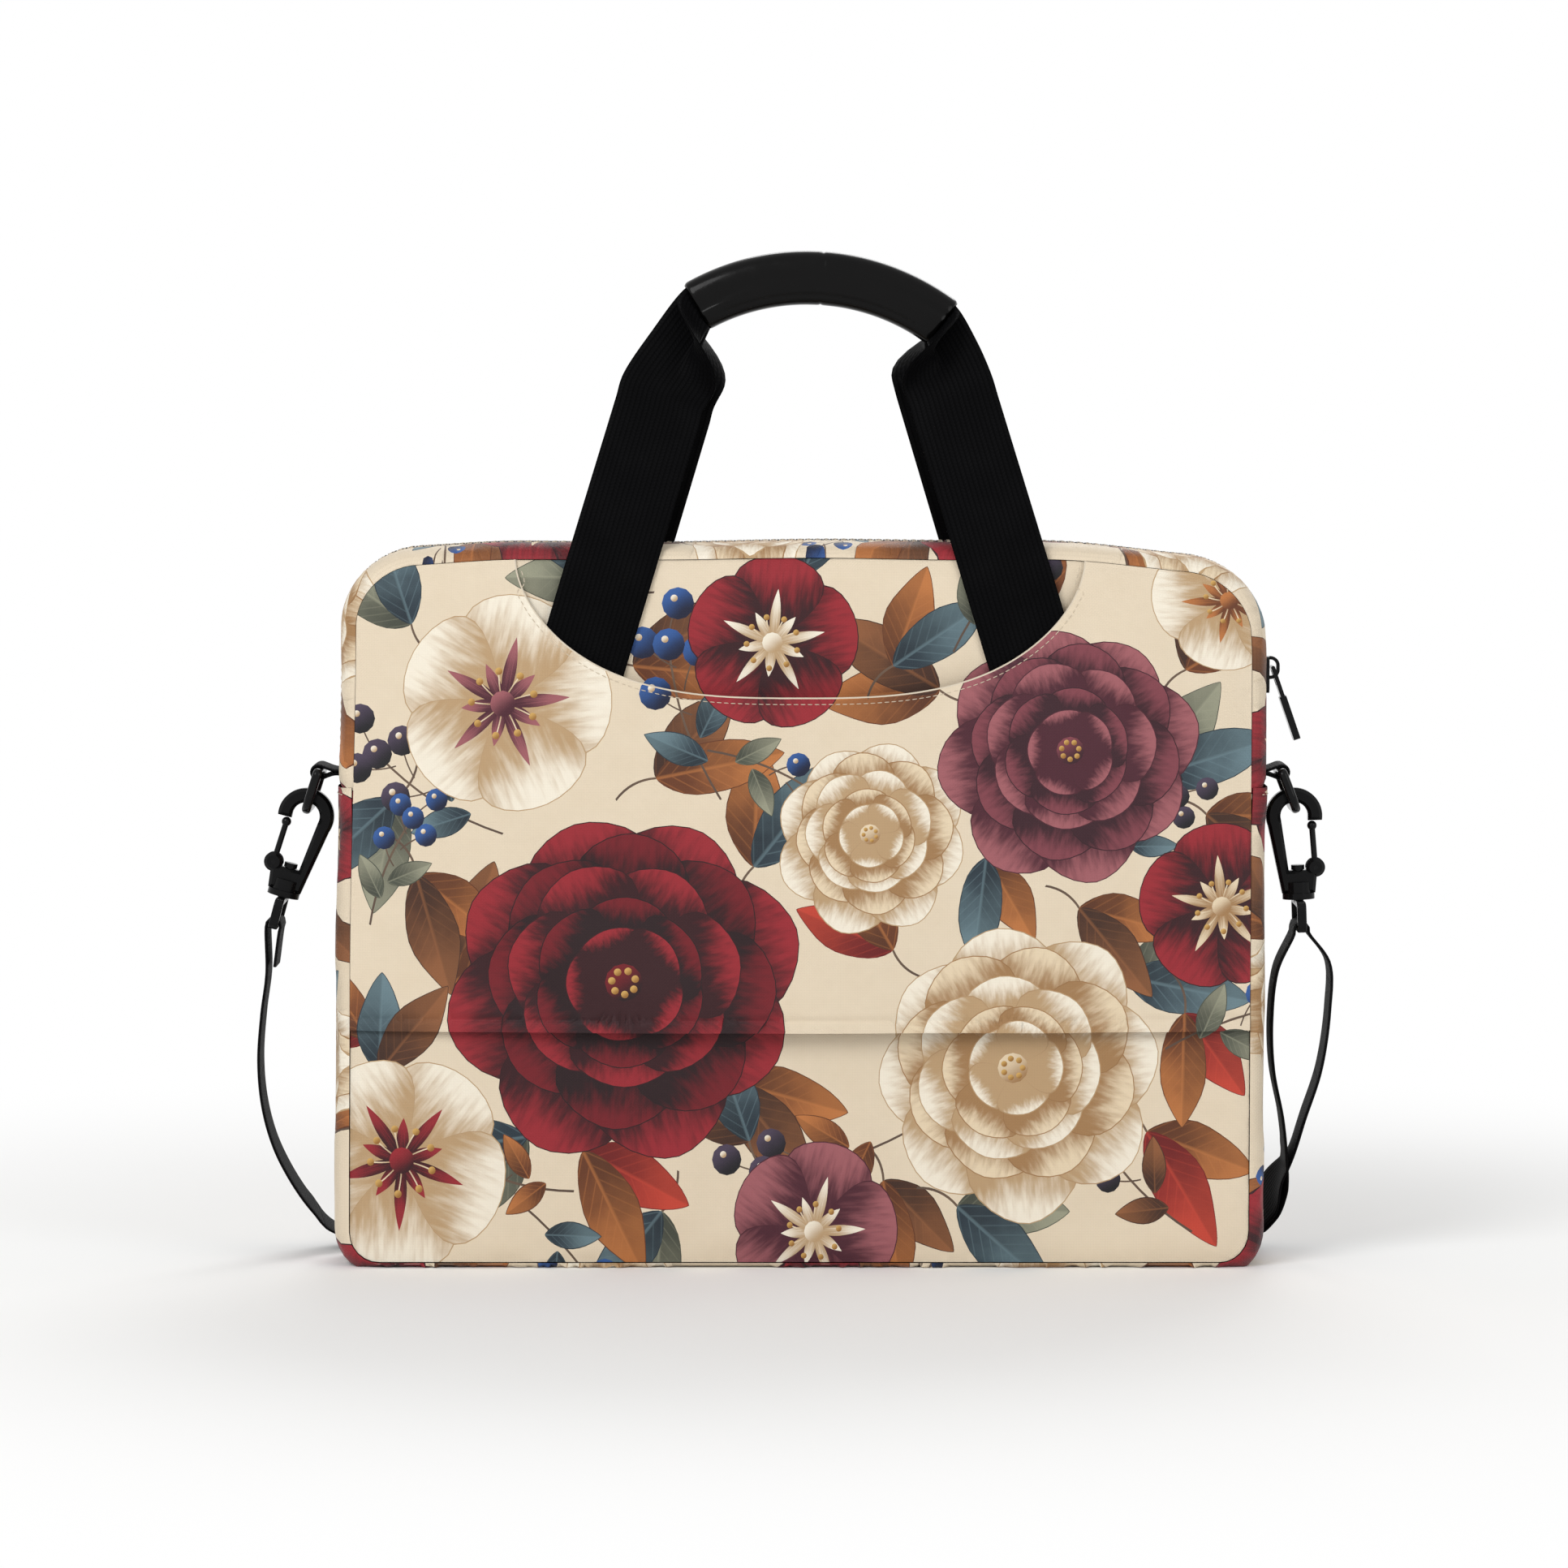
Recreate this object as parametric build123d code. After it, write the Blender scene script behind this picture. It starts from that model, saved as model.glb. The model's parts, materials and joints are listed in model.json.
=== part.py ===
from build123d import *
import math
import os

# A soft laptop tote bag. X runs across the bag, the sleeve side faces -Y, Z is up.
# The origin is on the ground, under the middle of the bag. Lengths are millimetres.

# Bag body
panel_width = 391.0
panel_height = 302.0
bag_depth = 48.0
gusset_swell = 6.5
top_corner_radius = 34.0
bottom_corner_radius = 20.0
gusset_wall = 2.5
gusset_seam_height = 209.0
panel_wall = 1.2
foam_wall = 4.0
lining_wall = 0.8
lining_mouth_drop = 16.0
divider_wall = 5.0
divider_offset = 6.0
divider_height = 226.0

# Zip
zip_slot_width = 9.0
zip_tape_inset = 0.6
zip_tape_wall = 1.0
zip_chain_width = 3.6
zip_chain_inset = 0.3
zip_chain_wall = 1.9
slider_height = 257.0
slider_length = 16.0
slider_width = 10.0
slider_wall = 1.6
slider_corner = 2.5
bridge_length = 10.0
bridge_width = 2.4
bridge_wall = 1.5
bridge_window = 3.2
bridge_round = 2.6
bridge_offset = 3.0
pull_length = 33.0
pull_width = 9.0
pull_wall = 1.8
pull_grip_wall = 3.0
pull_corner = 1.5
pull_slot_length = 8.0
pull_slot_width = 3.6
pull_lean = 19.0
pull_neck_share = 0.4

# Trolley sleeve
sleeve_bottom = 104.0
sleeve_wall = 1.5
sleeve_slack = 12.0
sleeve_seam = 8.0
scoop_top_width = 246.0
scoop_bottom_width = 170.0
scoop_depth = 59.5
scoop_radius = 38.0

# Carrying handles and hand grip
handle_width = 38.0
handle_wall = 2.0
handle_foot_height = 238.0
handle_foot_spread = 213.0
handle_lean = 16.8
front_handle_inset = 4.0
grip_height = 429.0
grip_span = 107.0
grip_arch = 16.0
handle_side_shift = 3.0
grip_turn = 3.8
grip_section_height = 23.0
grip_section_depth = 16.0
grip_corner_radius = 4.0
grip_wall = 1.5
grip_stations = 9

# D-rings and their tabs
tab_width = 25.0
tab_wall = 1.4
tab_reach = 7.0
tab_below_slider = 42.0
ring_wire = 4.0
ring_reach = 17.0
ring_bow_radius = 9.0
ring_corner_radius = 3.2
ring_round_share = 0.86
left_ring_lean = 18.0
right_ring_lean = 21.0

# Snap hooks
hook_bow_radius = 12.2
hook_bar = 6.2
hook_length = 48.6
hook_thick = 7.0
hook_bow_shift = 1.0
hook_base_width = 14.4
hook_floor = 12.5
hook_edge_round = 1.4
collar_radius = 7.0
collar_flange = 2.6
collar_neck_radius = 5.8
collar_length = 7.4
left_hook_lean = 15.0
right_hook_lean = 2.0
gate_pivot_out = 7.6
gate_pivot_up = 13.6
gate_boss_radius = 4.2
gate_knuckle_radius = 2.6
gate_knuckle_width = 3.2
gate_pin_radius = 0.9
gate_bar_radius = 1.3
gate_ball_radius = 2.1
gate_ball_out = 6.7
gate_ball_up = 31.8
swivel_stem_radius = 2.2
swivel_head_radius = 2.9
swivel_head_wall = 2.0
eye_height = 13.5
eye_bar = 2.6
eye_thick = 4.0
eye_inner_radius = 0.8
eye_round_share = 0.25

# Shoulder strap and its slide
strap_width = 25.0
strap_wall = 1.4
strap_bulge = 34.0
strap_behind = 17.0
strap_tail = 16.0
strap_right_turn = 22.0
strap_turn_share = 0.75
strap_turn_reach_share = 0.35
slide_place = 130.0
slide_length = 26.0
slide_bar = 3.2
slide_wall = 2.0
slide_side = 3.0

# Clearances
running_gap = 0.3
layer_gap = 0.3
overrun = 5.0

# Worked out from the sizes above
half_width = panel_width / 2 + gusset_swell
bag_top = panel_height + 2 * gusset_swell
half_depth = bag_depth / 2
panel_stack = panel_wall + foam_wall
half_inside = half_depth - panel_stack
panel_top = bag_top - gusset_swell
back_face = -half_depth
far = half_width + strap_bulge + bag_top
ring_wire_radius = ring_wire / 2
ring_inner_corner = ring_corner_radius - ring_wire_radius
ring_half_width = tab_width / 2 + running_gap + ring_inner_corner + ring_wire
eye_half_width = strap_width / 2 + running_gap + eye_inner_radius + eye_bar
eye_bar_drop = running_gap + eye_height - eye_bar / 2
slider_face = half_width + running_gap + slider_wall
pull_axis_out = slider_face + bridge_window / 2
pull_axis_up = slider_height + bridge_offset
tab_height = slider_height - tab_below_slider
strap_back = half_depth + strap_behind


def block(x_range, y_range, z_range):
    """A box between two places along each axis."""
    sides = []
    middles = []
    for low, high in (x_range, y_range, z_range):
        sides.append(high - low)
        middles.append((low + high) / 2)
    return Pos(*middles) * Box(*sides)


def outline(inset):
    """The bag's outline seen from the back, drawn in by an inset all round."""
    face = Rectangle(2 * (half_width - inset), bag_top - 2 * inset)
    face = fillet(face.vertices().group_by(Axis.Y)[-1], top_corner_radius - inset)
    return fillet(face.vertices().group_by(Axis.Y)[0], bottom_corner_radius - inset)


def slab(inset, y_from, y_to):
    """The inset outline as a plate between two depths."""
    plane = Plane(origin=(0, y_to, bag_top / 2), x_dir=(1, 0, 0), z_dir=(0, -1, 0))
    return extrude(plane * outline(inset), y_to - y_from)


def make_gusset():
    """The whole band round the bag, with a soft round towards each panel."""
    band = slab(0, -half_depth, half_depth)
    rims = band.faces().sort_by(Axis.Y)
    band = fillet(rims[0].edges() + rims[-1].edges(), gusset_swell)
    band -= slab(gusset_wall, -half_inside, half_inside)
    band -= slab(gusset_swell, -half_depth, -half_inside)
    band -= slab(gusset_swell, half_inside, half_depth)
    return band


def make_zip_band(inset, wall, y_from, y_to):
    """A strip that runs over the top of the bag and down to the gusset seam."""
    band = slab(inset, y_from, y_to) - slab(inset + wall, y_from, y_to)
    return band & block((-far, far), (y_from, y_to), (gusset_seam_height, bag_top + overrun))


def make_lining():
    """The thin inner bag, open at the top under the zip."""
    skin = slab(gusset_wall, -half_inside, half_inside)
    clear = half_inside - lining_wall
    skin -= slab(gusset_wall + lining_wall, -clear, clear)
    mouth = bag_top - lining_mouth_drop
    return skin - block((-far, far), (-far, far), (mouth, bag_top + overrun))


def make_divider():
    """The padded wall between the laptop and paper compartments."""
    plate = slab(
        gusset_wall + lining_wall,
        divider_offset - divider_wall / 2,
        divider_offset + divider_wall / 2,
    )
    return plate - block((-far, far), (-far, far), (divider_height, bag_top + overrun))


def make_sleeve():
    """The panel over the back that slips over a trolley handle, bowed outward."""
    edge = panel_width / 2
    bow = edge - sleeve_seam
    outer = back_face - sleeve_wall
    inner_arc = ThreePointArc((-bow, back_face), (0, back_face - sleeve_slack), (bow, back_face))
    outer_arc = ThreePointArc((bow, outer), (0, outer - sleeve_slack), (-bow, outer))
    right = Polyline((bow, back_face), (edge, back_face), (edge, outer), (bow, outer))
    left = Polyline((-bow, outer), (-edge, outer), (-edge, back_face), (-bow, back_face))
    section = make_face(inner_arc.edges() + right.edges() + outer_arc.edges() + left.edges())
    sheet = Pos(0, 0, sleeve_bottom) * extrude(section, panel_top - sleeve_bottom)
    sheet &= slab(gusset_swell, outer - sleeve_slack - overrun, back_face)
    return sheet - make_scoop(outer - sleeve_slack - overrun, back_face)


def make_scoop(y_from, y_to):
    """The dip in the sleeve's top edge, where the handles come out."""
    low = panel_top - scoop_depth
    high = panel_top + overrun
    dip = Polyline(
        (-scoop_top_width / 2, high),
        (-scoop_bottom_width / 2, low),
        (scoop_bottom_width / 2, low),
        (scoop_top_width / 2, high),
        close=True,
    )
    face = make_face(dip)
    face = fillet(face.vertices().group_by(Axis.Y)[0], scoop_radius)
    plane = Plane(origin=(0, y_to, 0), x_dir=(1, 0, 0), z_dir=(0, -1, 0))
    return extrude(plane * face, y_to - y_from)


def travels(points):
    """The direction of travel at each station, from its neighbours."""
    last = len(points) - 1
    found = []
    for number in range(len(points)):
        found.append(points[min(number + 1, last)] - points[max(number - 1, 0)])
    return found


def ribbon(points, ways, acrosses, widths, walls):
    """Flat webbing lofted through stations, each with its own way, width and wall."""
    sections = []
    for number, point in enumerate(points):
        normal = ways[number].cross(acrosses[number]).normalized()
        across = normal.cross(ways[number].normalized())
        side = across * (widths[number] / 2)
        rise = normal * (walls[number] / 2)
        corners = (
            point + side + rise,
            point - side + rise,
            point - side - rise,
            point + side - rise,
        )
        sections.append(Wire.make_polygon(corners))
    return Solid.make_loft(sections, ruled=True)


# Hand grip line: an arc over the bag, turned and shifted a little to one side
grip_curve_radius = grip_span**2 / (8 * grip_arch) + grip_arch / 2
grip_half_angle = math.asin(grip_span / 2 / grip_curve_radius)


def grip_place(share):
    """A point on the grip's line and its slope angle; share runs -1 to 1 along the grip."""
    angle = share * grip_half_angle + math.radians(grip_turn)
    out = grip_curve_radius * math.sin(angle)
    drop = grip_curve_radius * (1 - math.cos(angle))
    return handle_side_shift + out, grip_height - drop, angle


def grip_shares(reach):
    """Even stations along the grip, from one end to the other."""
    steps = grip_stations - 1
    return [reach * (2 * step / steps - 1) for step in range(grip_stations)]


def grip_section(share, high, deep, radius):
    """An upright rounded section across the grip's line."""
    x, z, angle = grip_place(share)
    travel = (math.cos(angle), 0, -math.sin(angle))
    plane = Plane(origin=(x, 0, z), x_dir=(0, 1, 0), z_dir=travel)
    return plane * RectangleRounded(deep, high, radius)


def make_grip():
    """The wrap that holds both handles together, hollow for the folded webbing."""
    skin = [
        grip_section(share, grip_section_height, grip_section_depth, grip_corner_radius)
        for share in grip_shares(1)
    ]
    hollow_reach = 1 + grip_wall / grip_span
    hollow = [
        grip_section(
            share,
            grip_section_height - 2 * grip_wall,
            grip_section_depth - 2 * grip_wall,
            grip_corner_radius - grip_wall,
        )
        for share in grip_shares(hollow_reach)
    ]
    return loft(skin, ruled=True) - loft(hollow, ruled=True)


# Handle stations between the bag's top and the grip, as shares of that rise:
# height, straight lean kept, depth kept, share of the fold already made
handle_rise_shares = (
    (0.28, 1.0, 0.78, 0.0),
    (0.55, 1.0, 0.50, 0.10),
    (0.78, 1.0, 0.26, 0.45),
    (0.92, 0.96, 0.14, 0.85),
)


def leg_stations(leg, side, inset, bundle_depth):
    """Places and folds of one handle leg, from its sewn foot to just under the grip."""
    lean = math.tan(math.radians(handle_lean))
    foot_x = handle_foot_spread / 2 - inset
    sewn_depth = side * (half_depth + handle_wall / 2)
    grip_x, grip_z, grip_angle = grip_place(leg)
    rise = grip_z - bag_top
    points = []
    folds = []
    for height in (handle_foot_height, panel_top - handle_width / 2, bag_top):
        x = handle_side_shift + leg * (foot_x - (height - handle_foot_height) * lean)
        points.append(Vector(x, sewn_depth, height))
        folds.append(0)
    top_x = points[-1].X
    for up, kept_lean, kept_depth, fold in handle_rise_shares:
        straight = top_x - leg * rise * up * lean
        x = straight * kept_lean + grip_x * (1 - kept_lean)
        y = bundle_depth + (sewn_depth - bundle_depth) * kept_depth
        points.append(Vector(x, y, bag_top + rise * up))
        folds.append(fold)
    return points, folds


def make_handle(side, inset):
    """One webbing handle: two legs sewn to a panel, folded in half through the grip."""
    folded_width = handle_width / 2
    folded_wall = 2 * handle_wall + layer_gap
    bundle_depth = side * (folded_wall + layer_gap) / 2
    points, folds = leg_stations(-1, side, inset, bundle_depth)
    right_points, right_folds = leg_stations(1, side, inset, bundle_depth)
    before = len(points)
    slopes = []
    for share in grip_shares(1):
        x, z, angle = grip_place(share)
        points.append(Vector(x, bundle_depth, z))
        folds.append(1)
        slopes.append(Vector(math.cos(angle), 0, -math.sin(angle)))
    points += right_points[::-1]
    folds += right_folds[::-1]
    ways = travels(points)
    ways[before : before + len(slopes)] = slopes
    acrosses = [way.cross(Vector(0, 1, 0)) for way in ways]
    widths = [handle_width + (folded_width - handle_width) * fold for fold in folds]
    walls = [handle_wall + (folded_wall - handle_wall) * fold for fold in folds]
    return ribbon(points, ways, acrosses, widths, walls)


def make_tab():
    """A webbing loop in the side seam, round the straight bar of a D-ring, on the right side."""
    outer = ring_wire_radius + running_gap + tab_wall
    loop = Rot(90, 0, 0) * Cylinder(outer, tab_width)
    neck_half = tab_wall + layer_gap / 2
    neck = block((-tab_reach, 0), (-tab_width / 2, tab_width / 2), (-neck_half, neck_half))
    bore = Rot(90, 0, 0) * Cylinder(ring_wire_radius + running_gap, tab_width + overrun)
    return loop + neck - bore


def make_ring():
    """A D-ring hanging from its straight bar, in the Y and Z plane, bar at the origin."""
    plane = Plane(origin=(ring_wire_radius, 0, 0), x_dir=(0, -1, 0), z_dir=(-1, 0, 0))
    outer_wide = 2 * ring_half_width
    outer_high = ring_reach + ring_wire
    outer = Rectangle(outer_wide, outer_high)
    inner = Rectangle(outer_wide - 2 * ring_wire, outer_high - 2 * ring_wire)
    face = ring_outline(outer, 0) - ring_outline(inner, ring_wire)
    body = extrude(plane * Pos(0, -ring_reach / 2) * face, ring_wire)
    rims = body.faces().filter_by(Axis.X)
    edges = [edge for rim in rims for edge in rim.edges()]
    return fillet(edges, ring_wire_radius * ring_round_share)


def ring_outline(face, inset):
    """A D: wide round corners at the bow, small ones at the bar."""
    bow_radius = ring_bow_radius - inset / 2
    corner_radius = ring_corner_radius - inset / 2
    face = fillet(face.vertices().group_by(Axis.Y)[0], bow_radius)
    return fillet(face.vertices().group_by(Axis.Y)[-1], corner_radius)


# Snap hook, drawn with its swivel axis up Z and its gate towards +X;
# the origin is the middle of the collar's lower face
hook_bow_up = hook_length - hook_bow_radius
inner_bow_radius = hook_bow_radius - hook_bar
hook_seat_up = hook_length - hook_bar - running_gap - ring_wire_radius
hook_seat_out = -hook_bow_shift
gate_tip_gap_up = gate_ball_up + gate_ball_radius + running_gap


def hook_face():
    """The hook's flat outline: a round bow on tapering sides, open at the gate."""
    bow = Pos(-hook_bow_shift, hook_bow_up) * Circle(hook_bow_radius)
    left = -hook_bow_shift - hook_bow_radius
    right = -hook_bow_shift + hook_bow_radius
    base = hook_base_width / 2
    sides = make_face(
        Polyline(
            (left, hook_bow_up),
            (right, hook_bow_up),
            (base, collar_flange),
            (-base, collar_flange),
            close=True,
        )
    )
    inner_bow = Pos(-hook_bow_shift, hook_bow_up) * Circle(inner_bow_radius)
    inner_base = hook_base_width / 2 - hook_bar / 2
    inner_sides = make_face(
        Polyline(
            (left + hook_bar, hook_bow_up),
            (right - hook_bar, hook_bow_up),
            (inner_base, hook_floor),
            (-inner_base, hook_floor),
            close=True,
        )
    )
    boss = Pos(gate_pivot_out, gate_pivot_up) * Circle(gate_boss_radius)
    mouth_low = gate_pivot_up + gate_boss_radius / 2
    mouth_high = gate_tip_gap_up
    mouth_wide = hook_bow_radius + overrun
    mouth = Pos(mouth_wide / 2, (mouth_low + mouth_high) / 2) * Rectangle(
        mouth_wide, mouth_high - mouth_low
    )
    return bow + sides - inner_bow - inner_sides - mouth + boss


def make_hook():
    """The hook with its collar, the bore for the swivel and the slot for the gate."""
    plane = Plane(origin=(0, hook_thick / 2, 0), x_dir=(1, 0, 0), z_dir=(0, -1, 0))
    body = extrude(plane * hook_face(), hook_thick)
    rims = body.faces().filter_by(Axis.Y)
    edges = [edge for rim in rims for edge in rim.edges()]
    body = chamfer(edges, hook_edge_round)
    flange = Pos(0, 0, collar_flange / 2) * Cylinder(collar_radius, collar_flange)
    neck = Pos(0, 0, collar_length / 2) * Cylinder(collar_neck_radius, collar_length)
    body = body + flange + neck
    bore_long = hook_floor + overrun
    bore = Cylinder(swivel_stem_radius + running_gap, 2 * bore_long)
    slot_half = gate_knuckle_width / 2 + running_gap
    slot_radius = gate_knuckle_radius + running_gap
    pivot = Pos(gate_pivot_out, 0, gate_pivot_up)
    slot = pivot * Rot(90, 0, 0) * Cylinder(slot_radius, 2 * slot_half)
    slot += pivot * block(
        (-slot_radius - overrun, slot_radius),
        (-slot_half, slot_half),
        (0, gate_boss_radius + overrun),
    )
    pin_hole = pivot * Rot(90, 0, 0) * Cylinder(gate_pin_radius, hook_thick + overrun)
    return body - bore - slot - pin_hole


def make_gate():
    """The slim sprung gate: a knuckle on the pin, a bar and a ball tip."""
    pivot = Vector(gate_pivot_out, 0, gate_pivot_up)
    tip = Vector(gate_ball_out, 0, gate_ball_up)
    run = tip - pivot
    bar_plane = Plane(origin=pivot, z_dir=run)
    bar = extrude(bar_plane * Circle(gate_bar_radius), run.length)
    knuckle = Pos(*pivot) * Rot(90, 0, 0) * Cylinder(gate_knuckle_radius, gate_knuckle_width)
    ball = Pos(*tip) * Sphere(gate_ball_radius)
    hole_radius = gate_pin_radius + running_gap / 2
    hole = Pos(*pivot) * Rot(90, 0, 0) * Cylinder(hole_radius, gate_knuckle_width + overrun)
    return bar + knuckle + ball - hole


def make_gate_pin():
    """The pin that the gate turns on."""
    return Pos(gate_pivot_out, 0, gate_pivot_up) * Rot(90, 0, 0) * Cylinder(gate_pin_radius, hook_thick)


def make_swivel():
    """The swivel: a headed stem through the collar and a wide eye for the strap."""
    head_low = hook_floor + running_gap
    head = Pos(0, 0, head_low + swivel_head_wall / 2) * Cylinder(swivel_head_radius, swivel_head_wall)
    stem_low = -running_gap - eye_bar / 2
    stem_long = head_low - stem_low
    stem = Pos(0, 0, stem_low + stem_long / 2) * Cylinder(swivel_stem_radius, stem_long)
    wide = 2 * eye_half_width
    outer = RectangleRounded(wide, eye_height, eye_inner_radius + eye_bar)
    inner = RectangleRounded(wide - 2 * eye_bar, eye_height - 2 * eye_bar, eye_inner_radius)
    plane = Plane(origin=(eye_thick / 2, 0, 0), x_dir=(0, -1, 0), z_dir=(-1, 0, 0))
    middle = -running_gap - eye_height / 2
    loop = extrude(plane * Pos(0, middle) * (outer - inner), eye_thick)
    rims = loop.faces().filter_by(Axis.X)
    edges = [edge for rim in rims for edge in rim.edges()]
    loop = fillet(edges, eye_bar * eye_round_share)
    return loop + stem + head


def ring_pivot(side):
    """Where a D-ring's straight bar turns in its tab."""
    return Vector(side * (half_width + tab_reach), 0, tab_height)


def ring_bow(side, lean):
    """The middle of a D-ring's bow, where the hook hangs."""
    angle = math.radians(lean)
    swing = Vector(side * math.sin(angle), 0, -math.cos(angle)) * ring_reach
    return ring_pivot(side) + swing


def hook_place(ring_lean, hook_lean):
    """Moves a hook drawn on the right side onto its ring."""
    seat = Pos(-hook_seat_out, 0, -hook_seat_up)
    hung = Rot(0, -hook_lean, 0) * seat
    return Pos(*ring_bow(1, ring_lean)) * hung


def on_side(side, shape):
    """The shape as drawn for the right side, or its mirror image for the left."""
    return shape if side > 0 else mirror(shape, Plane.YZ)


def eye_bar_place(side, ring_lean, hook_lean):
    """The middle of the swivel's lower bar, and the hook's outward and upward directions."""
    angle = math.radians(hook_lean)
    out = Vector(side * math.cos(angle), 0, math.sin(angle))
    up = Vector(-side * math.sin(angle), 0, math.cos(angle))
    bow = ring_bow(side, ring_lean)
    drop = hook_seat_up + eye_bar_drop
    return bow - out * hook_seat_out - up * drop, out, up


def make_slider():
    """The zip slider's rounded outer plate and its bowed bridge, on the right side of the bag."""
    low = half_width + running_gap
    plate = block(
        (low, slider_face),
        (-slider_width / 2, slider_width / 2),
        (slider_height - slider_length / 2, slider_height + slider_length / 2),
    )
    plate = fillet(plate.edges().filter_by(Axis.X), slider_corner)
    arch = block(
        (slider_face, slider_face + bridge_window + bridge_wall),
        (-bridge_width / 2, bridge_width / 2),
        (pull_axis_up - bridge_length / 2, pull_axis_up + bridge_length / 2),
    )
    arch = fillet(arch.edges().filter_by(Axis.Y).group_by(Axis.X)[-1], bridge_round + bridge_wall)
    window = block(
        (slider_face, slider_face + bridge_window),
        (-bridge_width, bridge_width),
        (
            pull_axis_up - bridge_length / 2 + bridge_wall,
            pull_axis_up + bridge_length / 2 - bridge_wall,
        ),
    )
    window = fillet(window.edges().filter_by(Axis.Y).group_by(Axis.X)[-1], bridge_round)
    return plate + (arch - window)


def make_pull():
    """The long zip pull, hung in the slider's bridge by the bar at its top."""
    bar = Rot(90, 0, 0) * Cylinder(pull_wall / 2, pull_width)
    half = pull_width / 2
    plate = block((-pull_wall / 2, pull_wall / 2), (-half, half), (-pull_length / 2, 0))
    slot_half = pull_slot_width / 2
    slot = block((-half, half), (-slot_half, slot_half), (-pull_slot_length, -pull_wall / 2))
    grip_top = -pull_length * pull_neck_share
    grip_half = pull_grip_wall / 2
    grip = block((-grip_half, grip_half), (-half, half), (-pull_length, grip_top))
    grip = fillet(grip.edges().filter_by(Axis.X), pull_corner)
    pull = bar + plate - slot + grip
    return Pos(pull_axis_out, 0, pull_axis_up) * Rot(0, -pull_lean, 0) * pull


# Stations of the strap where it hangs, as shares: height of the eye's bar, swing beyond the
# bag's side in strap bulges, and step back towards the strap's line behind the bag
left_drop_shares = (
    (0.86, 0.88, 0.00),
    (0.74, 0.95, 0.03),
    (0.60, 1.00, 0.09),
    (0.47, 0.97, 0.20),
    (0.35, 0.86, 0.36),
    (0.24, 0.67, 0.56),
    (0.14, 0.42, 0.77),
    (0.065, 0.15, 0.92),
)
inner_drop_shares = (
    (0.88, 0.17, 0.00),
    (0.73, 0.10, 0.02),
    (0.58, 0.13, 0.08),
    (0.43, 0.26, 0.18),
    (0.32, 0.32, 0.32),
)
outer_drop_shares = (
    (0.90, 0.83, 0.00),
    (0.76, 0.84, 0.02),
    (0.58, 0.74, 0.08),
    (0.43, 0.55, 0.18),
    (0.32, 0.42, 0.32),
)
joined_drop_shares = (
    (0.23, 0.31, 0.54),
    (0.14, 0.13, 0.78),
    (0.065, -0.10, 0.93),
)


def drop_points(side, bar_up, shares):
    """Hanging strap stations from a table of shares."""
    points = []
    for up, bulge, back in shares:
        x = side * (half_width + bulge * strap_bulge)
        points.append(Vector(x, back * strap_back, up * bar_up))
    return points


def eye_turn(bar, out, up):
    """Strap stations over a swivel's bar, from its inner side to its outer side."""
    aside = eye_thick / 2 + layer_gap + strap_wall / 2
    above = eye_bar / 2 + layer_gap + strap_wall / 2
    turn_shares = ((-1, -0.6), (-1, 0.4), (-0.62, 1.03), (0.62, 1.03), (1, 0.4), (1, -0.6))
    return [bar + out * (aside * a) + up * (above * u) for a, u in turn_shares]


def strap_line():
    """All stations of the strap in order, with the direction across it at each."""
    layer = strap_wall + layer_gap
    low = layer_gap + strap_wall / 2
    high = low + layer
    left_bar, left_out, left_up = eye_bar_place(-1, left_ring_lean, left_hook_lean)
    right_bar, right_out, right_up = eye_bar_place(1, right_ring_lean, right_hook_lean)
    left_turn = eye_turn(left_bar, left_out, left_up)
    right_turn = eye_turn(right_bar, right_out, right_up)
    tail_end = left_turn[0] - left_up * strap_tail - left_out * (eye_thick / 2)
    points = [tail_end] + left_turn
    points += drop_points(-1, left_bar.Z, left_drop_shares)
    points += floor_points(low, high)
    joined = drop_points(1, right_bar.Z, joined_drop_shares)
    inner = drop_points(1, right_bar.Z, inner_drop_shares)
    outer = drop_points(1, right_bar.Z, outer_drop_shares)
    inside_joined = spaced(joined, -layer / 2)
    outside_joined = spaced(joined, layer / 2)
    points += inside_joined[::-1]
    points += inner[::-1]
    points += right_turn
    points += outer
    points += outside_joined
    points += return_points(low, high)
    acrosses = [strap_across(point) for point in points]
    return points, acrosses


def strap_across(point):
    """The strap lies across Y, and turns a little where it leaves the right side of the bag."""
    share = max(0, 1 - abs(point.Y / strap_back - strap_turn_share) / strap_turn_reach_share)
    angle = math.radians(strap_right_turn) * share if point.X > half_width else 0
    return Vector(-math.sin(angle), math.cos(angle), 0)


def spaced(points, offset):
    """Stations moved off the line of travel by an offset in the X and Z plane."""
    moved = []
    for point, way in zip(points, travels(points)):
        moved.append(point - way.cross(Vector(0, 1, 0)).normalized() * offset)
    return moved


# The slide's bars, from the ground up: the strap's sewn end goes round the middle bar,
# and the running strap passes over it and under the two outer bars
def slide_levels():
    """Heights of the middle bar, the running strap over it and the outer bars."""
    step = strap_wall + layer_gap
    bar_low = layer_gap + step
    bar_high = bar_low + slide_wall
    end_top = bar_high + step
    strap_middle = end_top + layer_gap + strap_wall / 2
    outer_low = strap_middle + strap_wall / 2 + layer_gap
    return bar_low, bar_high, strap_middle, outer_low


def floor_points(low, high):
    """The running strap behind the bag: along the ground, over the slide's bar, on along."""
    bar_low, bar_high, over, outer_low = slide_levels()
    reach = slide_length / 2
    ramp = slide_length
    ends = half_width - bottom_corner_radius
    stations = (
        (-ends, low),
        (-slide_place - reach - ramp, low),
        (-slide_place - reach, over),
        (-slide_place + reach, over),
        (-slide_place + reach + ramp, high),
        (ends, high),
    )
    return [Vector(x, strap_back, z) for x, z in stations]


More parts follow.
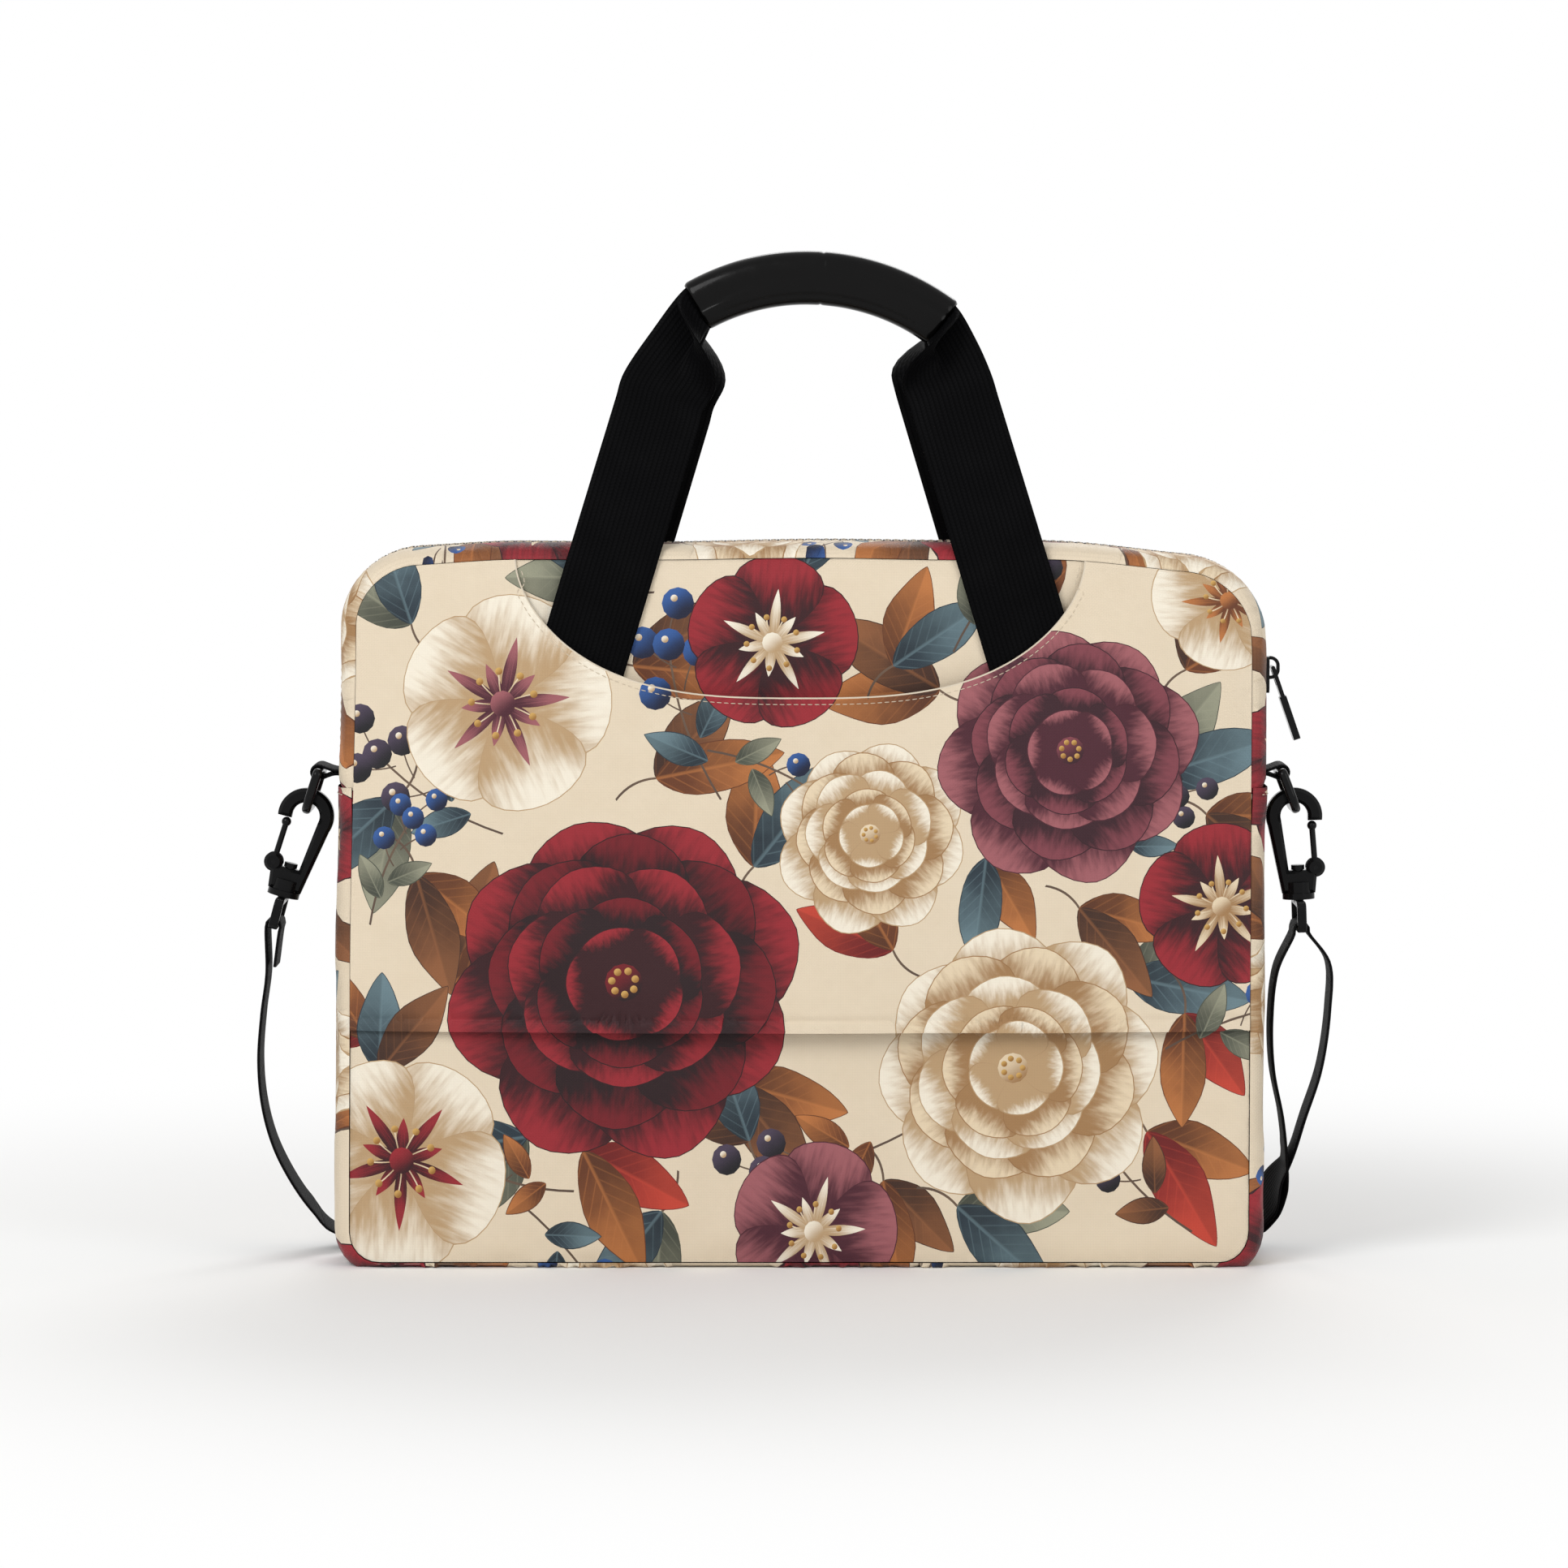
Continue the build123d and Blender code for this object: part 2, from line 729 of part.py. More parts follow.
def return_points(low, high):
    """The strap's other end: back along the ground and round the slide's middle bar."""
    bar_low, bar_high, over, outer_low = slide_levels()
    aside = slide_bar / 2 + layer_gap + strap_wall / 2
    under = bar_low - layer_gap - strap_wall / 2
    above = bar_high + layer_gap + strap_wall / 2
    ends = half_width - bottom_corner_radius
    stations = (
        (ends, low),
        (-slide_place + slide_bar, low),
        (-slide_place - slide_bar / 2, under),
        (-slide_place - aside - layer_gap, (under + above) / 2),
        (-slide_place - slide_bar / 2, above),
        (-slide_place + slide_bar, above),
    )
    return [Vector(x, strap_back, z) for x, z in stations]


def make_strap():
    """The shoulder strap as one length of webbing."""
    points, acrosses = strap_line()
    widths = [strap_width] * len(points)
    walls = [strap_wall] * len(points)
    return ribbon(points, travels(points), acrosses, widths, walls)


def make_slide():
    """The strap's slide adjuster: two side cheeks, a low middle bar and two high outer bars."""
    bar_low, bar_high, over, outer_low = slide_levels()
    half = strap_width / 2 + running_gap
    outer_high = outer_low + slide_wall
    reach = slide_length / 2
    place = Pos(-slide_place, strap_back, 0)
    cheeks = block((-reach, reach), (half, half + slide_side), (bar_low, outer_high))
    cheeks += block((-reach, reach), (-half - slide_side, -half), (bar_low, outer_high))
    bars = block((-slide_bar / 2, slide_bar / 2), (-half, half), (bar_low, bar_high))
    bars += block((-reach, slide_bar - reach), (-half, half), (outer_low, outer_high))
    bars += block((reach - slide_bar, reach), (-half, half), (outer_low, outer_high))
    return place * (cheeks + bars)


def make_all():
    """Every node by name."""
    nodes = {}
    gusset = make_gusset()
    slot = zip_slot_width / 2
    seam = gusset_seam_height
    high = bag_top + overrun
    nodes["lower_gusset"] = gusset & block((-far, far), (-far, far), (-overrun, seam))
    nodes["zip_gusset_back"] = gusset & block((-far, far), (-far, -slot), (seam, high))
    nodes["zip_gusset_front"] = gusset & block((-far, far), (slot, far), (seam, high))
    chain_half = zip_chain_width / 2
    nodes["zip_tape_back"] = make_zip_band(zip_tape_inset, zip_tape_wall, -slot, -chain_half)
    nodes["zip_tape_front"] = make_zip_band(zip_tape_inset, zip_tape_wall, chain_half, slot)
    nodes["zip_chain"] = make_zip_band(zip_chain_inset, zip_chain_wall, -chain_half, chain_half)
    nodes["zip_slider"] = make_slider()
    nodes["zip_pull"] = make_pull()
    nodes["back_panel"] = slab(gusset_swell, -half_depth, panel_wall - half_depth)
    nodes["front_panel"] = slab(gusset_swell, half_depth - panel_wall, half_depth)
    nodes["back_padding"] = slab(gusset_swell, panel_wall - half_depth, -half_inside)
    nodes["front_padding"] = slab(gusset_swell, half_inside, half_depth - panel_wall)
    nodes["lining"] = make_lining()
    nodes["divider"] = make_divider()
    nodes["trolley_sleeve"] = make_sleeve()
    nodes["back_handle"] = make_handle(-1, 0)
    nodes["front_handle"] = make_handle(1, front_handle_inset)
    nodes["hand_grip"] = make_grip()
    nodes["shoulder_strap"] = make_strap()
    nodes["strap_slide"] = make_slide()
    for name, side, ring_lean, hook_lean in (
        ("left", -1, left_ring_lean, left_hook_lean),
        ("right", 1, right_ring_lean, right_hook_lean),
    ):
        hung = hook_place(ring_lean, hook_lean)
        pivot = ring_pivot(1)
        nodes["ring_tab_" + name] = on_side(side, Pos(*pivot) * make_tab())
        nodes["d_ring_" + name] = on_side(side, Pos(*pivot) * Rot(0, -ring_lean, 0) * make_ring())
        nodes["hook_" + name] = on_side(side, hung * make_hook())
        nodes["gate_" + name] = on_side(side, hung * make_gate())
        nodes["gate_pin_" + name] = on_side(side, hung * make_gate_pin())
        nodes["swivel_" + name] = on_side(side, hung * make_swivel())
    return nodes


os.makedirs("parts", exist_ok=True)
for node, shape in make_all().items():
    export_step(shape, "parts/" + node + ".step")
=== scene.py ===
import json
import math

import bpy
import numpy as np
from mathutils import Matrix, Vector
from mathutils.geometry import delaunay_2d_cdt


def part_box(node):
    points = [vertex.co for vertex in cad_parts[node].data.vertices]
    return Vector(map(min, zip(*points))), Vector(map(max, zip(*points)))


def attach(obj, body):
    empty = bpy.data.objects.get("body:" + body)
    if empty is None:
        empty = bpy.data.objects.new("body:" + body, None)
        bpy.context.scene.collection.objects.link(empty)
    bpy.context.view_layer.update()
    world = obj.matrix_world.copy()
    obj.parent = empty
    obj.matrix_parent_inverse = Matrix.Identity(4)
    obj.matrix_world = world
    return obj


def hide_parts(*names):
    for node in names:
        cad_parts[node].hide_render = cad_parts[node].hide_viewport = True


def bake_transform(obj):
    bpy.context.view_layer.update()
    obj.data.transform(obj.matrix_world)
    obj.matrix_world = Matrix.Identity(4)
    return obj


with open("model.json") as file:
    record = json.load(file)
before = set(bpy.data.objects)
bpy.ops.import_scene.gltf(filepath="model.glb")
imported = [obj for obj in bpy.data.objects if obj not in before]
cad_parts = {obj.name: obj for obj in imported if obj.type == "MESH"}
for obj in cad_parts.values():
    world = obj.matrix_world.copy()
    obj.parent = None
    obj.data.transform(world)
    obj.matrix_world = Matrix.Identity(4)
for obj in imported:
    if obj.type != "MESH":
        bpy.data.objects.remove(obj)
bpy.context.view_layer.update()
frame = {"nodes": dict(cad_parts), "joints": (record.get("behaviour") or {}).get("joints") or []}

# The bag's own sizes, in metres, read from the frame
half_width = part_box("lower_gusset")[1].x
bag_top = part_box("zip_gusset_back")[1].z
half_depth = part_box("front_panel")[1].y
gusset_swell = half_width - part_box("back_panel")[1].x
gusset_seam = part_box("zip_gusset_back")[0].z
sleeve_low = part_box("trolley_sleeve")[0].z
sleeve_depth = -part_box("trolley_sleeve")[0].y
handle_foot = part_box("back_handle")[0].z
joint_places = {joint["name"]: joint for joint in frame["joints"]}

# Sizes that the frame doesn't give
top_corner = 0.034
bottom_corner = 0.020
cloth_wall = 0.0012
cloth_spacing = 0.006
gusset_spacing = 0.005
edge_spacing = 0.0035
scoop_half = 0.123
scoop_fall = 0.0595
webbing_wall = 0.0020
webbing_step = 0.0022
strap_wall = 0.0014
lying_room = 0.0003
floor_room = 0.0002
along_y = np.array((0.0, 1.0, 0.0))

# Field kinds that the painted cloth tells apart
GROUND, PETAL, LEAF, PLAIN = 0, 1, 2, 3


def dye(red, green, blue):
    """A colour of the dyer's card, given in screen values, as the renderer's linear colour."""
    shares = np.array((red, green, blue)) / 255
    low = shares / 12.92
    high = ((shares + 0.055) / 1.055) ** 2.4
    return (*np.where(shares <= 0.04045, low, high), 1.0)


# Dyes of the print: the colour at a field's root and at its tip
cream_ground = (dye(222, 205, 179), dye(229, 214, 190))
cloth_reverse = (dye(214, 203, 186), dye(219, 209, 193))
wine = (dye(46, 5, 13), dye(150, 34, 44))
deep_wine = (dye(30, 3, 9), dye(112, 18, 29))
plum = (dye(70, 24, 38), dye(158, 92, 98))
deep_plum = (dye(50, 15, 27), dye(126, 62, 72))
ivory = (dye(184, 153, 114), dye(241, 232, 214))
warm_ivory = (dye(160, 122, 80), dye(228, 209, 178))
rust = (dye(98, 52, 26), dye(186, 116, 62))
umber = (dye(66, 38, 24), dye(142, 90, 54))
slate = (dye(34, 48, 58), dye(104, 128, 136))
sage = (dye(74, 78, 66), dye(152, 152, 130))
coral = (dye(116, 20, 22), dye(194, 66, 48))
inky = (dye(9, 18, 46), dye(50, 90, 154))
soot = (dye(12, 10, 16), dye(74, 62, 82))
stalk = (dye(88, 70, 58), dye(104, 84, 68))
pollen = (dye(150, 104, 46), dye(206, 164, 92))
outline_dilution = np.array((0.85, 0.8, 0.75, 1.0))
outline_width = 0.0004


def add_node(tree, kind, inputs=(), **settings):
    """One shader node, with values or links for its inputs."""
    made = tree.nodes.new("ShaderNode" + kind)
    for name, value in settings.items():
        setattr(made, name, value)
    for key, value in dict(inputs).items():
        if isinstance(value, bpy.types.NodeSocket):
            tree.links.new(value, made.inputs[key])
        else:
            made.inputs[key].default_value = value
    return made


def figure(tree, operation, first, second=0.0, third=0.0):
    """The result of one step of arithmetic in a shader."""
    made = add_node(tree, "Math", {0: first, 1: second, 2: third}, operation=operation)
    return made.outputs[0]


def ramp(tree, value, low, high, to_low=0.0, to_high=1.0):
    """A value eased from one range onto another."""
    inputs = {0: value, 1: low, 2: high, 3: to_low, 4: to_high}
    made = add_node(tree, "MapRange", inputs, interpolation_type="SMOOTHSTEP")
    return made.outputs[0]


def mix_colour(tree, share, first, second, way="MIX"):
    """Two colours mixed by a share."""
    inputs = {0: share, 6: first, 7: second}
    made = add_node(tree, "Mix", inputs, data_type="RGBA", blend_type=way)
    return made.outputs[2]


def noise(tree, vector, scale, detail=2.0):
    """Soft noise between 0 and 1 at a scale in features per metre."""
    inputs = {"Vector": vector, "Scale": scale, "Detail": detail}
    return add_node(tree, "TexNoise", inputs).outputs[0]


def new_group(name, place, numbers, results):
    """An empty shader node group: a place and numbers go in, and numbers come out."""
    group = bpy.data.node_groups.new(name, "ShaderNodeTree")
    group.interface.new_socket(place, in_out="INPUT", socket_type="NodeSocketVector")
    for label in numbers:
        group.interface.new_socket(label, in_out="INPUT", socket_type="NodeSocketFloat")
    for label in results:
        group.interface.new_socket(label, in_out="OUTPUT", socket_type="NodeSocketFloat")
    return group, group.nodes.new("NodeGroupInput"), group.nodes.new("NodeGroupOutput")


def make_plain_weave():
    """Plain weave: warp and weft threads that pass over and under each other, and painted shade that
    darkens the cloth where they lie low.
    """
    group, start, end = new_group("plain weave", "Cloth", ("Threads",), ("Height", "Thread Shading"))
    flat = add_node(group, "SeparateXYZ", {0: start.outputs["Cloth"]})
    waves = []
    for axis in (0, 1):
        turns = figure(group, "MULTIPLY", flat.outputs[axis], start.outputs["Threads"])
        waves.append(figure(group, "SINE", figure(group, "MULTIPLY", turns, math.pi)))
    over = figure(group, "GREATER_THAN", figure(group, "MULTIPLY", *waves), 0.0)
    warp, weft = (figure(group, "ABSOLUTE", wave) for wave in waves)
    upper = figure(group, "MULTIPLY", over, warp)
    lower = figure(group, "MULTIPLY", figure(group, "SUBTRACT", 1.0, over), weft)
    height = figure(group, "ADD", upper, lower)
    group.links.new(height, end.inputs["Height"])
    # Painted shade: the colour goes a little darker where the threads lie low
    group.links.new(ramp(group, height, 0.0, 1.0, 0.93, 1.0), end.inputs["Thread Shading"])
    return group


def make_ribbed_weave():
    """Narrow-woven webbing: ribs along it, each crossed by slanting picks; its shading is painted shade in
    the grooves and a painted highlight on the ribs.
    """
    group, start, end = new_group("ribbed weave", "Cloth", ("Rib", "Pick"), ("Height", "Thread Shading"))
    flat = add_node(group, "SeparateXYZ", {0: start.outputs["Cloth"]})
    ribs = figure(group, "DIVIDE", flat.outputs[0], start.outputs["Rib"])
    rib = figure(group, "ABSOLUTE", figure(group, "SINE", figure(group, "MULTIPLY", ribs, math.pi)))
    side = figure(group, "PINGPONG", ribs, 1.0)
    picks = figure(group, "DIVIDE", flat.outputs[1], start.outputs["Pick"])
    slant = figure(group, "ADD", picks, figure(group, "MULTIPLY", side, 0.8))
    pick = figure(group, "SINE", figure(group, "MULTIPLY", slant, 2 * math.pi))
    crossed = ramp(group, pick, -1.0, 1.0, 0.62, 1.0)
    height = figure(group, "MULTIPLY", figure(group, "POWER", rib, 0.7), crossed)
    group.links.new(height, end.inputs["Height"])
    # Painted shade and highlight: the colour goes darker in the grooves and lighter than its dye on the
    # ribs' tops
    group.links.new(ramp(group, height, 0.0, 1.0, 0.55, 1.25), end.inputs["Thread Shading"])
    return group


def make_handling_marks():
    """Faint smears and rubbed patches that handling leaves on a glossy black surface."""
    sockets = ("Place", ("Gloss", "Rubbed"), ("Roughness", "Height"))
    group, start, end = new_group("handling marks", *sockets)
    smears = ramp(group, noise(group, start.outputs["Place"], 140.0, 4.0), 0.35, 0.75)
    added = figure(group, "MULTIPLY", smears, start.outputs["Rubbed"])
    group.links.new(figure(group, "ADD", start.outputs["Gloss"], added), end.inputs["Roughness"])
    group.links.new(noise(group, start.outputs["Place"], 900.0, 3.0), end.inputs["Height"])
    return group


plain_weave = make_plain_weave()
ribbed_weave = make_ribbed_weave()
handling_marks = make_handling_marks()


def new_material(name, **sockets):
    """A material with its Principled shader and the values that hold all over it."""
    material = bpy.data.materials.new(name)
    material.use_nodes = True
    tree = material.node_tree
    shader = tree.nodes["Principled BSDF"]
    for label, value in sockets.items():
        shader.inputs[label.replace("_", " ")].default_value = value
    return material, tree, shader


def add_group(tree, group, inputs):
    """A shader node group placed in a material."""
    return add_node(tree, "Group", inputs, node_tree=group)


def add_bump(tree, shader, height, distance, strength=1.0):
    """Fine relief on a material."""
    inputs = {"Height": height, "Distance": distance, "Strength": strength}
    made = add_node(tree, "Bump", inputs)
    tree.links.new(made.outputs[0], shader.inputs["Normal"])


def finish_woven(tree, shader, colour, weave, tone_and_shading, rough, relief, strength):
    """A woven material's colour with its painted thread shading, roughness between and on its threads, and
    relief.
    """
    shade = add_node(tree, "CombineColor", dict.fromkeys((0, 1, 2), tone_and_shading)).outputs[0]
    tree.links.new(mix_colour(tree, 1.0, colour, shade, "MULTIPLY"), shader.inputs["Base Color"])
    tree.links.new(ramp(tree, weave.outputs["Height"], 0.0, 1.0, *rough), shader.inputs["Roughness"])
    add_bump(tree, shader, weave.outputs["Height"], relief, strength)


def make_printed_canvas():
    """Satin-faced canvas with the painted floral print, read from each field's own values."""
    material, tree, shader = new_material(
        "printed canvas", Sheen_Weight=0.1, Sheen_Roughness=0.45, Specular_IOR_Level=0.38
    )
    cloth = add_node(tree, "UVMap", uv_map="cloth").outputs[0]
    root = add_node(tree, "Attribute", attribute_name="root_dye").outputs[0]
    tip = add_node(tree, "Attribute", attribute_name="tip_dye").outputs[0]
    field = add_node(tree, "Attribute", attribute_name="field").outputs[1]
    parts = add_node(tree, "SeparateXYZ", {0: field})
    along, across, kind = parts.outputs
    is_petal = figure(tree, "COMPARE", kind, float(PETAL), 0.4)
    is_leaf = figure(tree, "COMPARE", kind, float(LEAF), 0.4)

    # Fine streaks that run along each petal, and its shaded rims
    lanes = add_node(tree, "CombineXYZ", {0: figure(tree, "MULTIPLY", across, 5.0), 1: along})
    streaks = ramp(tree, noise(tree, lanes.outputs[0], 1.6, 3.0), 0.3, 0.7, 0.16, -0.16)
    rim = figure(tree, "POWER", figure(tree, "ABSOLUTE", across), 3.0)
    drawn = figure(tree, "MULTIPLY_ADD", rim, -0.34, streaks)
    drawn = figure(tree, "MULTIPLY", drawn, is_petal)

    # Brushed passage from the root's dye to the tip's
    brush = noise(tree, cloth, 75.0, 4.0)
    wavy = figure(tree, "ADD", along, figure(tree, "MULTIPLY_ADD", brush, 0.5, -0.25))
    wavy = figure(tree, "ADD", wavy, drawn)
    colour = mix_colour(tree, ramp(tree, wavy, 0.08, 0.95), root, tip)

    # A leaf's midrib, slanting veins and darker half
    side = figure(tree, "ABSOLUTE", across)
    slant = figure(tree, "MULTIPLY_ADD", along, 9.0, figure(tree, "MULTIPLY", side, -2.2))
    vein = ramp(tree, figure(tree, "PINGPONG", slant, 0.5), 0.0, 0.12, 0.35, 0.0)
    midrib = ramp(tree, side, 0.02, 0.10, 0.6, 0.0)
    ribs = figure(tree, "MULTIPLY", figure(tree, "MAXIMUM", vein, midrib), is_leaf)
    half = ramp(tree, across, -0.05, 0.05, 0.0, -0.26)
    leaf_tone = figure(tree, "MULTIPLY_ADD", half, is_leaf, 1.0)

    weave = add_group(tree, plain_weave, {"Cloth": cloth, "Threads": 1500.0})
    # The leaf's darker half is print; the weave's shading is painted shade between the threads
    tone_and_shading = figure(tree, "MULTIPLY", leaf_tone, weave.outputs["Thread Shading"])
    colour = mix_colour(tree, ribs, colour, tip)
    finish_woven(tree, shader, colour, weave, tone_and_shading, (0.74, 0.58), 0.00012, 0.6)
    return material


def make_webbing(name, dark, light, rib, pick):
    """Black ribbed webbing with a faint sheen, painted shade in its grooves and a painted highlight on its
    ribs.
    """
    material, tree, shader = new_material(
        name, Sheen_Weight=0.01, Sheen_Roughness=0.35, Specular_IOR_Level=0.03
    )
    cloth = add_node(tree, "UVMap", uv_map="cloth").outputs[0]
    weave = add_group(tree, ribbed_weave, {"Cloth": cloth, "Rib": rib, "Pick": pick})
    worn = ramp(tree, noise(tree, cloth, 40.0, 3.0), 0.3, 0.8, 0.0, 0.5)
    base = mix_colour(tree, worn, dark, light)
    # The weave's shading paints shade into the grooves and a highlight onto the ribs
    finish_woven(tree, shader, base, weave, weave.outputs["Thread Shading"], (0.72, 0.5), 0.0002, 0.7)
    return material


def make_gloss(name, dark, light, gloss, rubbed, relief, coat=0.0):
    """Glossy black: moulded, enamelled or coated, with handling marks."""
    material, tree, shader = new_material(
        name, Coat_Weight=coat, Coat_Roughness=0.08, Coat_IOR=1.25, Specular_IOR_Level=0.08
    )
    place = add_node(tree, "TexCoord").outputs["Object"]
    marks = add_group(tree, handling_marks, {"Place": place, "Gloss": gloss, "Rubbed": rubbed})
    cloudy = noise(tree, place, 60.0, 3.0)
    tree.links.new(mix_colour(tree, cloudy, dark, light), shader.inputs["Base Color"])
    tree.links.new(marks.outputs["Roughness"], shader.inputs["Roughness"])
    add_bump(tree, shader, marks.outputs["Height"], relief, 0.5)
    return material


def make_plain_cloth(name, dark, light, threads):
    """Plain unprinted cloth, such as the lining, the hem's binding or the zip's tape."""
    material, tree, shader = new_material(name, Sheen_Weight=0.1, Specular_IOR_Level=0.35)
    place = add_node(tree, "TexCoord").outputs["Object"]
    turned = add_node(tree, "Mapping", {"Vector": place, "Rotation": (math.pi / 2, 0.0, 0.0)})
    weave = add_group(tree, plain_weave, {"Cloth": turned.outputs[0], "Threads": threads})
    base = mix_colour(tree, noise(tree, place, 80.0, 3.0), dark, light)
    # The weave's shading is painted shade between the threads
    finish_woven(tree, shader, base, weave, weave.outputs["Thread Shading"], (0.85, 0.68), 0.0001, 0.5)
    return material


printed_canvas = make_printed_canvas()
handle_webbing = make_webbing("handle webbing", dye(5, 5, 6), dye(12, 12, 13), 0.0021, 0.0016)
strap_webbing = make_webbing("strap webbing", dye(11, 11, 12), dye(22, 22, 24), 0.0017, 0.0014)
grip_wrap = make_gloss("grip wrap", dye(5, 5, 5), dye(9, 8, 8), 0.16, 0.12, 0.00006, coat=0.3)
black_moulding = make_gloss("black moulding", dye(9, 9, 10), dye(16, 16, 17), 0.2, 0.16, 0.00005, coat=0.2)
black_enamel = make_gloss("black enamel", dye(8, 8, 9), dye(16, 16, 17), 0.17, 0.14, 0.00003, coat=0.4)
coil_nylon = make_gloss("coil nylon", dye(9, 9, 10), dye(18, 18, 19), 0.32, 0.1, 0.00003)
zip_tape_cloth = make_plain_cloth("zip tape cloth", dye(15, 15, 16), dye(26, 26, 27), 1600.0)
lining_cloth = make_plain_cloth("lining cloth", dye(26, 26, 29), dye(38, 38, 41), 2200.0)
hem_binding = make_plain_cloth("hem binding", dye(206, 192, 170), dye(228, 216, 196), 1500.0)
pale_thread = make_plain_cloth("pale thread", dye(196, 180, 156), dye(222, 208, 186), 3000.0)
black_thread = make_plain_cloth("black thread", dye(15, 15, 16), dye(27, 27, 28), 3000.0)


def rows(*columns):
    """Columns of numbers set side by side as rows."""
    return np.stack(np.broadcast_arrays(*columns), axis=-1)


def unit(vectors):
    """Vectors brought to length 1."""
    return vectors / np.maximum(np.linalg.norm(vectors, axis=-1, keepdims=True), 1e-12)


def ease(value, low, high):
    """0 below low, 1 above high and a smooth passage between."""
    share = np.clip((value - low) / (high - low), 0, 1)
    return share * share * (3 - 2 * share)


def soft_waves(first, second, seed, length, count=7):
    """Smooth uneven waves of about that length over a cloth, mostly between -1 and 1."""
    chance = np.random.default_rng(seed)
    total = np.zeros_like(first)
    for _ in range(count):
        turn, shift = chance.uniform(0, 2 * math.pi, 2)
        reach = length * chance.uniform(0.7, 1.5)
        walk = first * math.cos(turn) + second * math.sin(turn)
        total += np.sin(walk * 2 * math.pi / reach + shift)
    return total / math.sqrt(count)


def walk_along(line):
    """How far along a line each of its points lies."""
    return np.concatenate(([0], np.cumsum(np.linalg.norm(np.diff(line, axis=0), axis=1))))


def read_at(wanted, walk, values):
    """Rows of values at wanted places of a walk, between its stations."""
    return np.stack([np.interp(wanted, walk, column) for column in values.T], axis=1)


def nearest_to(line, spot):
    """The number of a line's point that lies nearest a spot."""
    return np.argmin(np.linalg.norm(line - spot, axis=1))


def tube_faces(rings, sides):
    """The faces of a tube between rings of points that follow each other."""
    faces = []
    for base in range(0, (rings - 1) * sides, sides):
        for side in range(sides):
            low, high = base + side, base + (side + 1) % sides
            faces.append([low, high, high + sides, low + sides])
    return faces


def add_object(name, data):
    """A new object in the scene."""
    made = bpy.data.objects.new(name, data)
    bpy.context.scene.collection.objects.link(made)
    return made


class Outline:
    """The bag's rounded outline, walked from the middle of its bottom edge to the right and over."""

    def __init__(self, inset):
        self.side = half_width - inset
        self.low = inset
        self.high = bag_top - inset
        self.low_round = bottom_corner - inset
        self.high_round = top_corner - inset
        quarter = math.pi / 2
        runs = (
            self.side - self.low_round,
            quarter * self.low_round,
            self.high - self.low - self.low_round - self.high_round,
            quarter * self.high_round,
            self.side - self.high_round,
        )
        self.stops = np.cumsum(runs)
        self.length = 2 * self.stops[-1]

    def at(self, walk):
        """The points at these distances along the outline, and the ways out of it."""
        walk = np.mod(walk, self.length)
        mirrored = walk > self.length / 2
        step = np.where(mirrored, self.length - walk, walk)
        first, second, third, fourth, _ = self.stops
        low_turn = np.clip(step - first, 0, second - first) / self.low_round
        high_turn = np.clip(step - third, 0, fourth - third) / self.high_round
        turn = low_turn + high_turn
        x = np.minimum(step, first) + self.low_round * np.sin(low_turn)
        x = x - self.high_round * (1 - np.cos(high_turn)) - np.maximum(step - fourth, 0)
        z = self.low + self.low_round * (1 - np.cos(low_turn))
        z = z + np.clip(step - second, 0, third - second) + self.high_round * np.sin(high_turn)
        out_x, out_z = np.sin(turn), -np.cos(turn)
        flip = np.where(mirrored, -1.0, 1.0)
        return rows(x * flip, z), rows(out_x * flip, out_z)

    def walk_to_height(self, height):
        """How far along the outline its right side reaches a height."""
        return self.stops[1] + height - self.low - self.low_round

    def points(self, spacing):
        """The outline as evenly spaced points."""
        count = int(self.length / spacing)
        return self.at(np.arange(count) * self.length / count)[0]


def depth_inside(x, z, inset):
    """How far a point lies inside the outline, negative outside it."""
    middle = bag_top / 2
    corner = np.where(z > middle, top_corner, bottom_corner) - inset
    past_x = np.abs(x) - (half_width - inset - corner)
    past_z = np.abs(z - middle) - (bag_top / 2 - inset - corner)
    outer = np.hypot(np.maximum(past_x, 0), np.maximum(past_z, 0))
    return corner - outer - np.minimum(np.maximum(past_x, past_z), 0)


panel_outline = Outline(gusset_swell)


class Field:
    """One field of colour in the print, with its own direction for dyes, streaks and veins."""

    def __init__(self, edge, dyes, kind, base, turn, reach, spread):
        following = np.roll(edge, -1, 0)
        area = np.sum(edge[:, 0] * following[:, 1] - edge[:, 1] * following[:, 0])
        self.edge = edge if area > 0 else edge[::-1]
        self.dyes = dyes
        self.kind = kind
        self.base = np.array(base)
        self.way = np.array((math.cos(turn), math.sin(turn)))
        self.reach = reach
        self.spread = spread

    def places(self, points):
        """Share along the field and share across it, for points on it."""
        away = points - self.base
        along = away @ self.way / self.reach
        across = away @ np.array((-self.way[1], self.way[0])) / self.spread
        return along, np.clip(across, -1, 1)


def spoon(base, turn, reach, spread, dyes, kind=PETAL, fullness=1.5, roundness=0.55, wave=0.0, hidden=0.0):
    """A petal or leaf from its base to its tip; its shade starts past the share that is hidden."""
    share = (1 - np.cos(np.linspace(0, math.pi, 15))) / 2
    width = spread * np.sin(math.pi * share**fullness) ** roundness
    width = width * (1 + wave * np.sin(share * 9 + turn * 3))
    left = rows(share * reach, width)
    right = rows(share * reach, -width)[-2:0:-1]
    local = np.vstack((left, right))
    turned = np.array(((math.cos(turn), math.sin(turn)), (-math.sin(turn), math.cos(turn))))
    shade_base = away_from(base, turn, reach * hidden)
    edge = np.array(base) + local @ turned
    return Field(edge, dyes, kind, shade_base, turn, reach * (1 - hidden), spread)


